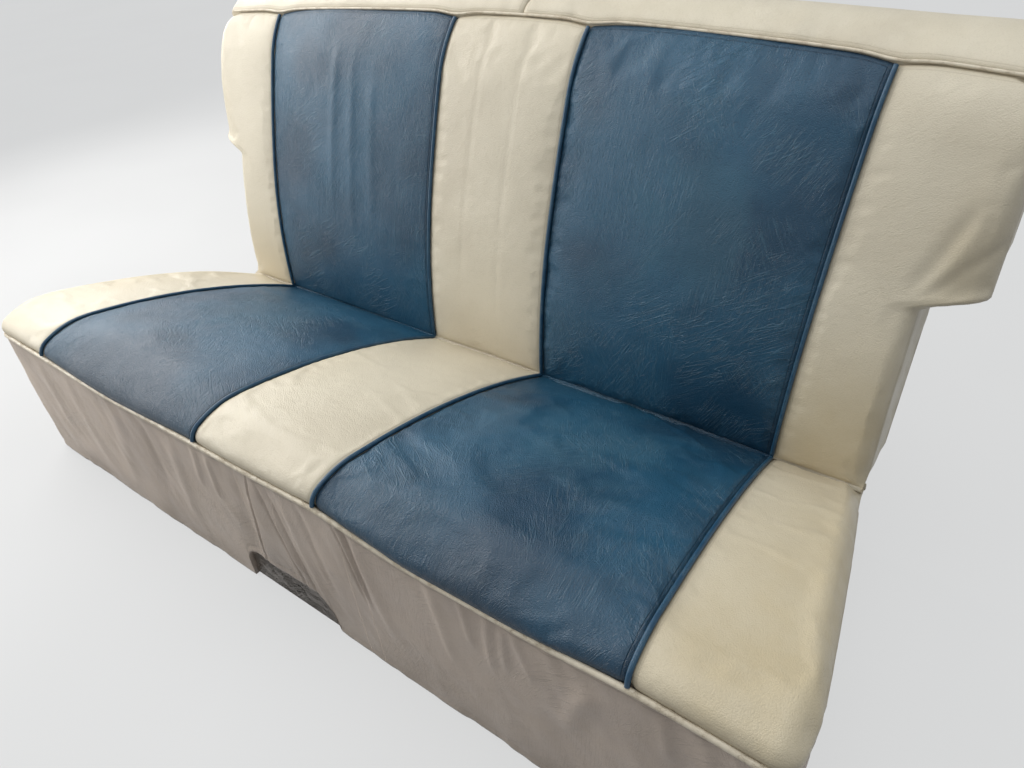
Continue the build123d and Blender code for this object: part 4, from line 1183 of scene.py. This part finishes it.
def sideTop(y):
    # under the side's welt, which follows the cushion's top line
    share = np.linspace(0, 0.9, 60)
    spots = cushionLine.spot(share) - cushionLine.facing(share) * 0.0365
    order = np.argsort(spots[:, 0])
    return np.minimum(np.interp(y, spots[order, 0], spots[order, 1]), skirtFacts["top"])


skirtFront()
sideY = np.arange(-0.3495, 0.1481, 0.0045)
sideX = np.interp(sideY, [-0.351, 0.148], [0.735, 0.6512])
for label, side in (("Right", 1), ("Left", -1)):
    plan = np.stack([side * sideX, sideY], 1)
    outward = np.tile(unit(np.array([side * 0.499, 0.0838])), (len(sideY), 1))
    low = np.full(len(sideY), skirtFacts["bottom"])
    skirtPiece(
        "skirtCover_side" + label, plan, outward, low, sideTop(sideY), skirtFacts["sideFolds"],
        runAlong(plan), "cushion_skirt_" + label.lower(), 11 + side,
    )
print("skirt hung")

# the top roll, in two halves, from its seam over the crest to the back
rollFacts = {
    "bulge": 0.0065, "fall": 0.018, "end": 0.724, "endRound": 0.014, "pucker": 0.0012, "foot": 0.656,
    "crest": (0.338, 0.737), "rear": (0.3985, 0.714),
}


def rollSection(x):
    # profile points (y, z) from the seam over the crest and down the rear to the frame
    fall = rollFacts["fall"] * (x / seat["wingHalf"]) ** 2
    seamZ = float(topSeamHeight(np.array(x))) + 0.0015
    face = backLine.spot(backLine.shareAtHeight(seamZ))
    start = np.array([face[0] - 0.0005, seamZ])
    crest, rear = (np.array(rollFacts[key]) - [0, fall] for key in ("crest", "rear"))
    bow = (start + crest) / 2 + rollFacts["bulge"] * np.array([-0.55, 1.0])
    over = arcThrough(start, bow, crest, 22)
    back = arcThrough(crest, (crest + rear) / 2 + np.array([0.004, 0.0052]), rear, 14)[1:]
    down = np.stack([np.full(12, rear[0]), np.linspace(rear[1], rollFacts["foot"], 13)[1:]], 1)
    return np.vstack([over, back, down])


def topRoll(side, name, node, seed):
    bend = rollFacts["end"] - rollFacts["endRound"] * (1 - np.sin(np.linspace(0, np.pi / 2, 8)))
    even = np.arange(0.0102, rollFacts["end"] - 0.020, 0.0048)
    stations = np.concatenate([[0.0005, 0.003, 0.006], even, bend])
    rows = []
    for x in stations:
        section = rollSection(x)
        ahead = np.gradient(section, axis=0)
        out = units(np.stack([-ahead[:, 1], ahead[:, 0]], 1))
        along = runAlong(section)
        here = np.full(len(along), x)
        ripple = softNoise(here, along * 0.15, 42, seed) * np.exp(-along / 0.020)
        ripple = ripple + 1.4 * softNoise(along, here * 0.15, 60, seed + 1) * np.exp(-x / 0.016)
        ripple = ripple + 0.9 * softNoise(here, along, 12, seed + 2)
        height = rollFacts["pucker"] * ripple - tuck(0.0035, x, 0.005) - tuck(0.0030, along, 0.004)
        shut = max(0.0, (x - (rollFacts["end"] - rollFacts["endRound"])) / rollFacts["endRound"])
        drawn = rollFacts["endRound"] * (1 - math.sqrt(max(0.0, 1 - shut**2)))
        spot = section + out * (height - drawn)[:, None]
        spot[:, 0] = np.minimum(spot[:, 0], section[-1, 0] - drawn)
        spot[-12:, 1] = np.minimum(spot[-12:, 1], section[-13, 1] - drawn)
        rows.append(np.concatenate([np.full((len(spot), 1), side * x), spot], 1))
    top = np.array(rows)
    share = np.linspace(0, 1, top.shape[1])[None, :]
    under = top.copy()
    first, last = top[:, :1, 1] + 0.008, top[:, -1:, 1] - 0.0005
    under[..., 1] = first + (last - first) * share
    under[..., 2] = rollFacts["foot"]
    along = share + 0 * top[..., 0]
    near = np.maximum(nearness(stations)[:, None], nearness(along * 0.2))
    marks = marksFor(
        top.shape[:2], across=top[..., 0], along=along * 0.2 + 7.0, wear=0.45, seamNear=near,
        stain=0.10 * smoothStep(0.5, 1, along),
    )
    coverPiece(name, *closedSlab(top, under), creamVinyl, marks, node, "cream_vinyl", 0.9)


topRoll(1, "topRollCover_right", "back_top_roll_right", 61)
topRoll(-1, "topRollCover_left", "back_top_roll_left", 67)
topX = np.linspace(-0.700, 0.700, 240)
topFace = backLine.spot(backLine.shareAtHeight(topSeamHeight(topX)))
topPath = np.stack([topX, topFace[:, 0] - 0.0006, topSeamHeight(topX) + 0.0006], 1)
topValues = {"Radius": pipingFacts["topRadius"], "Material": creamCord}
grown("topWelt", [topPath], piping, topValues)
print("top roll sewn")

# side walls of the back, from the rolled edge to the frame
wallFacts = {"start": 0.019, "thick": 0.005, "rearFoot": 0.171, "rake": math.radians(18), "behind": 0.002}


def sideWall(side, name, node, seed):
    top = float(topSeamHeight(0.70))
    low, high = np.arange(0.168, wingTurn["low"], 0.005), np.arange(0.478, 0.6545, 0.005)
    turning = np.arange(wingTurn["low"], wingTurn["high"], 0.0018)  # closer steps where the wing starts
    z = np.concatenate([low, turning, high, [0.6562]])
    half = wingEdge(z, top)
    face = backLine.spot(backLine.shareAtHeight(z))[:, 0] + wallFacts["start"] + wingAhead(half - 0.002, z)
    rear = wallFacts["rearFoot"] + z * math.tan(wallFacts["rake"]) - wallFacts["behind"]
    t = np.linspace(0, 1, 30)[None, :]
    y = face[:, None] + (rear - face)[:, None] * t
    slope = np.gradient(half, z)
    out = units(np.stack([np.ones_like(slope), -slope], 1))
    along = np.broadcast_to(z[:, None], y.shape)
    height = 0.0022 * softNoise(along, y, 22, seed)
    height = height + 0.0012 * softNoise(along + y * 0.6, y * 0.3, 60, seed + 1)
    height = height * np.sin(np.pi * np.clip(t, 0.0, 1)) ** 0.5 - 0.001
    outX, outZ, thick = out[:, :1], out[:, 1:], wallFacts["thick"]
    place = np.stack([half[:, None] + outX * height, y, along + outZ * height], -1)
    under = np.stack([half[:, None] - outX * thick + 0 * y, y, along - outZ * thick], -1)
    place[..., 0] *= side
    under[..., 0] *= side
    marks = marksFor(
        y.shape, across=y + 9.0, along=along, wear=0.4, seamNear=nearness(np.minimum(t, 1 - t) * 0.2),
        stain=0.25 * smoothStep(0.3, 1.0, t),
    )
    coverPiece(name, *closedSlab(place, under), creamVinyl, marks, node, "cream_vinyl", 0.5)


sideWall(1, "sideCover_right", "back_side_right", 71)
sideWall(-1, "sideCover_left", "back_side_left", 77)
print("side walls sewn")


# what is under the covers: springs, sacking, padding and linings. A deck's places are (y, z) pairs.
decks = {
    "cushion": {
        "start": (-0.3700, 0.2280), "end": (0.1290, 0.1120), "rise": 0.028, "half": 0.690, "taper": -0.050,
    },
    "back": {"start": (0.1904, 0.1514), "end": (0.3449, 0.6267), "rise": 0.050, "half": 0.612, "taper": 0.0},
}
springFacts = {
    "columns": 6, "span": 0.570, "runs": 14, "width": 0.052, "wire": 0.004, "burlapGap": 0.0068,
    "ringShares": (0.006, 0.994), "ringInside": 0.02, "ringBelow": 0.002,
}


def onDeck(facts, along, lift=0.0):
    # points of a deck's side view at shares of its length, at a height over the springs' arch
    start, end = np.array(facts["start"]), np.array(facts["end"])
    way = unit(end - start)
    up = np.array([-way[1], way[0]])
    if up @ np.array([-0.5, 1.0]) < 0:
        up = -up
    length = np.linalg.norm(end - start)
    arch = arcThrough((0, 0), (length / 2, facts["rise"]), (length, 0), 80)
    height = np.interp(np.asarray(along) * length, arch[:, 0], arch[:, 1]) + lift
    return start + way * (np.asarray(along) * length)[..., None] + up * height[..., None]


def springPlaces():
    columns = springFacts["columns"]
    return [springFacts["span"] * (2 * k / (columns - 1) - 1) for k in range(columns)]


def springPaths(facts):
    # each spring is one wire: short bars joined by half rings, first on one side, then on the other
    runs, half = springFacts["runs"], (springFacts["width"] - springFacts["wire"]) / 2
    length = float(np.linalg.norm(np.array(facts["end"]) - np.array(facts["start"])))
    ends = springFacts["wire"] / 2 / length
    pitch = (1 - 2 * ends) / runs
    loop = pitch * length / 2
    reach = half - loop
    flat = [(-half, ends)]
    for run in range(runs):
        side = -1 if run % 2 else 1
        middle = ends + pitch * (run + 0.5)
        for turn in np.linspace(-np.pi / 2, np.pi / 2, 9):
            flat.append((side * (reach + loop * math.cos(turn)), middle + pitch / 2 * math.sin(turn)))
    flat.append((half if runs % 2 else -half, 1 - ends))
    flat = np.array(flat)
    spots = onDeck(facts, flat[:, 1])
    return [np.column_stack([flat[:, 0] + x, spots]) for x in springPlaces()]


def burlapSheet(name, facts, node, rests):
    # sacking over the springs: it sags a little between them and is drawn in at its ends
    across, along = np.linspace(-1, 1, 150), np.linspace(0.0, 1.0, 60)
    t, u = np.meshgrid(along, across, indexing="ij")
    x = u * (facts["half"] + facts["taper"] * t)
    nearest = np.min([np.abs(x - place) for place in springPlaces()], axis=0)
    sag = 0.0026 * smoothStep(0.026, 0.075, nearest) * np.sin(np.pi * t)
    lift = springFacts["burlapGap"] - sag + 0.0010 * softNoise(x, t * 0.5, 26, 91)
    lift = lift + 0.0006 * softNoise(x, t * 0.5, 90, 92)
    points = np.concatenate([x[..., None], onDeck(facts, t, lift)], -1).reshape(-1, 3)
    length = float(np.linalg.norm(np.diff(onDeck(facts, along), axis=0), axis=1).sum())
    stain = np.clip(0.4 + 0.6 * softNoise(x, t * 0.5, 9, 95), 0, 1)
    marks = {"across": x, "along": t * length, "stain": stain}
    piece = newPiece(name, points, gridFaces(len(along), len(across)), burlapFinish, marks)
    seated(piece, node)
    width = 2 * (facts["half"] + max(facts["taper"], 0))
    cut = (2 * facts["half"] + facts["taper"]) * length
    min(cut, width * length)
    print(name, "cut", round(width, 3), "by", round(length, 3))


def paddingPiece(name, node):
    # the padding keeps the form that lies between cover and sacking, with matted lumps
    mesh = cadNodes[node].data.copy()
    mesh.name = name
    work = bmesh.new()
    work.from_mesh(mesh)
    bmesh.ops.remove_doubles(work, verts=work.verts, dist=0.00005)
    work.to_mesh(mesh)
    work.free()
    shape = placed(name + "Shape", mesh)
    remesh = shape.modifiers.new("even", "REMESH")
    remesh.mode, remesh.voxel_size = "VOXEL", 0.010
    soft = shape.modifiers.new("soften", "SMOOTH")
    soft.factor, soft.iterations = 0.5, 3
    even = bpy.data.meshes.new_from_object(evaluated(shape))
    bpy.data.objects.remove(shape)
    count = len(even.vertices)
    spots, out = np.zeros(count * 3), np.zeros(count * 3)
    even.vertices.foreach_get("co", spots)
    even.vertices.foreach_get("normal", out)
    spots, out = spots.reshape(-1, 3), out.reshape(-1, 3)
    lumps = 0.0016 * softNoise(spots[:, 0], spots[:, 1] + spots[:, 2], 24, 33) - 0.0018
    even.vertices.foreach_set("co", (spots + out * lumps[:, None]).ravel())
    even.materials.clear()
    even.materials.append(paddingFinish)
    even.polygons.foreach_set("use_smooth", [True] * len(even.polygons))
    piece = placed(name, even)
    seated(piece, node)


def hungCloth(name, profile, halfWidth, node, ripple, seed):
    # a lining that runs across the whole seat, along a side view profile
    profile = np.array(profile)
    steps = runAlong(profile)
    fine = np.linspace(0, steps[-1], max(12, int(steps[-1] / 0.006)))
    line = np.stack([np.interp(fine, steps, profile[:, k]) for k in (0, 1)], 1)
    ahead = np.gradient(line, axis=0)
    out = units(np.stack([ahead[:, 1], -ahead[:, 0]], 1))
    x = np.linspace(-halfWidth, halfWidth, int(2 * halfWidth / 0.010))
    t, u = np.meshgrid(fine, x, indexing="ij")
    wave = softNoise(u, t * 0.2, 34, seed) + 0.5 * softNoise(u, t * 0.4, 11, seed + 1)
    calm = smoothStep(0, 0.03, t) * (0.35 + 0.65 * smoothStep(0, 0.02, fine[-1] - t))
    height = ripple * wave * calm
    spots = line[:, None, :] + out[:, None, :] * height[..., None]
    points = np.concatenate([u[..., None], spots], -1).reshape(-1, 3)
    stain = np.clip(0.3 + 0.5 * smoothStep(0.5, 1, t / fine[-1]), 0, 1)
    marks = {"across": u, "along": t, "stain": stain}
    piece = newPiece(name, points, gridFaces(len(fine), len(x)), clothFinish, marks)
    seated(piece, node)
    print(name, "cut", round(2 * halfWidth, 3), "by", round(float(fine[-1]), 3))


wireValues = {"Radius": springFacts["wire"] / 2, "Sides": 8, "Uneven": 0.0, "Material": wireFinish}
for part, facts in decks.items():
    grown(part + "SpringWires", springPaths(facts), piping, wireValues, part + "_springs")
    burlapSheet(part + "Sacking", facts, part + "_burlap", part + "_springs")
    paddingPiece(part + "Padding", part + "_pad")
hungCloth(
    "cushionRearLining", [(0.1255, 0.1512), (0.1440, 0.1512), (0.1472, 0.1490), (0.1472, 0.0016)], 0.6505,
    "cushion_rear_cover", 0.0018, 101,
)
hungCloth(
    "backUnderLining", [(0.1212, 0.1722), (0.1825, 0.1508)], 0.6555, "back_bottom_cover",
    0.0012, 107,
)
for nodeName, node in cadNodes.items():
    if any(word in nodeName for word in ("rail", "base", "post", "bar", "upright", "hook", "clips")):
        node.data.materials.clear()
        node.data.materials.append(steelFinish)


def edgePath(facts, share):
    # across a deck, just inside its sacking's edge
    half = facts["half"] + facts["taper"] - springFacts["ringInside"]
    lift = springFacts["burlapGap"] - springFacts["ringBelow"]
    spot = onDeck(facts, np.array([share]), lift)[0]
    return np.column_stack([np.linspace(-half, half, 60), np.tile(spot, (60, 1))])


ringPaths = [edgePath(facts, share) for facts in decks.values() for share in springFacts["ringShares"]]
grown("sackingRings", ringPaths, ringTree(), {"Material": wireFinish})
hemLines = ((0.645, 0.1478, 0.0080), (0.645, 0.1478, 0.1420), (0.650, 0.1265, 0.1699))  # half width, y, z
hems = [[(x, y, z) for x in np.linspace(-half, half, 200)] for half, y, z in hemLines]
grown("hemStitches", hems, stitching, {"Material": creamThread})
print("springs, sacking, padding, linings and frame finished")


# floor, light and camera
floorRecipe = Recipe("floorPaint", Roughness=0.9)
seen = floorRecipe.node("ShaderNodeLightPath", output="Is Camera Ray")
mirrored = floorRecipe.node("ShaderNodeLightPath", output="Is Glossy Ray")
floorGlow = floorRecipe.blend(seen.maths("MAXIMUM", seen, mirrored), (0.0, 0.0, 0.0), (0.58, 0.585, 0.585))
floorCloud = floorRecipe.noise(1.5, 2).rising(0.3, 0.7)
floorTone = floorRecipe.blend(floorCloud, (0.13, 0.13, 0.13), (0.145, 0.145, 0.145))
floorPaint = floorRecipe.finish(Base_Color=floorTone, Emission_Color=floorGlow, Emission_Strength=1.0)
floorHalf = 14
corners = [(x * floorHalf, y * floorHalf, 0) for x, y in ((-1, -1), (1, -1), (1, 1), (-1, 1))]
floorMesh = newMesh("floor", corners, [(0, 1, 2, 3)])
floorMesh.materials.append(floorPaint)
placed("floor", floorMesh)

world = bpy.data.worlds.new("studio")
bpy.context.scene.world = world
world.use_nodes = True
backdrop = world.node_tree.nodes["Background"]
backdrop.inputs["Color"].default_value = (0.93, 0.96, 1.0, 1)
worldFacts = {"asLight": 0.45, "toCamera": 0.90}
worldNodes, worldLinks = world.node_tree.nodes, world.node_tree.links
rays = worldNodes.new("ShaderNodeLightPath")
direct = worldNodes.new("ShaderNodeMath")
direct.operation = "MAXIMUM"
strength = worldNodes.new("ShaderNodeMapRange")
strength.inputs["To Min"].default_value = worldFacts["asLight"]
strength.inputs["To Max"].default_value = worldFacts["toCamera"]
worldLinks.new(rays.outputs["Is Camera Ray"], direct.inputs[0])
worldLinks.new(rays.outputs["Is Transmission Ray"], direct.inputs[1])
worldLinks.new(direct.outputs[0], strength.inputs["Value"])
worldLinks.new(strength.outputs["Result"], backdrop.inputs["Strength"])

studioLamps = {
    "windowLight": {
        "place": (-2.1, 0.15, 1.55), "aim": (0, -0.05, 0.3), "size": 1.9, "power": 55,
        "tint": (1.0, 0.98, 0.95),
    },
    "doorLight": {
        "place": (-1.75, -1.15, 0.8), "aim": (-0.2, 0.1, 0.45), "size": 0.9, "power": 15,
        "tint": (1.0, 0.98, 0.95),
    },
    "roofLight": {
        "place": (0.5, -0.2, 2.6), "aim": (0, 0, 0.3), "size": 2.0, "power": 22, "tint": (0.97, 0.99, 1.0),
    },
}
for lampName, lampFacts in studioLamps.items():
    lamp = bpy.data.lights.new(lampName, "AREA")
    lamp.size, lamp.energy, lamp.color = lampFacts["size"], lampFacts["power"], lampFacts["tint"]
    holder = placed(lampName, lamp)
    holder.location = lampFacts["place"]
    way = Vector(lampFacts["aim"]) - Vector(lampFacts["place"])
    holder.rotation_euler = way.to_track_quat("-Z", "Y").to_euler()

cameraFacts = {
    "place": (0.7691, -0.7652, 0.9421), "right": (0.8039, 0.5903, -0.0724),
    "up": (-0.3018, 0.5098, 0.8056), "ahead": (-0.5125, 0.6258, -0.5880), "lens": 26.72, "sensor": 36,
    "nearest": 0.02,
}
cameraData = bpy.data.cameras.new("camera")
cameraData.lens, cameraData.sensor_width = cameraFacts["lens"], cameraFacts["sensor"]
cameraData.clip_start = cameraFacts["nearest"]
camera = placed("camera", cameraData)
axes = Matrix([cameraFacts["right"], cameraFacts["up"], [-k for k in cameraFacts["ahead"]]]).transposed()
camera.matrix_world = Matrix.Translation(cameraFacts["place"]) @ axes.to_quaternion().to_matrix().to_4x4()
bpy.context.scene.camera = camera
bpy.context.scene.view_settings.view_transform = "Standard"

print("studio set")
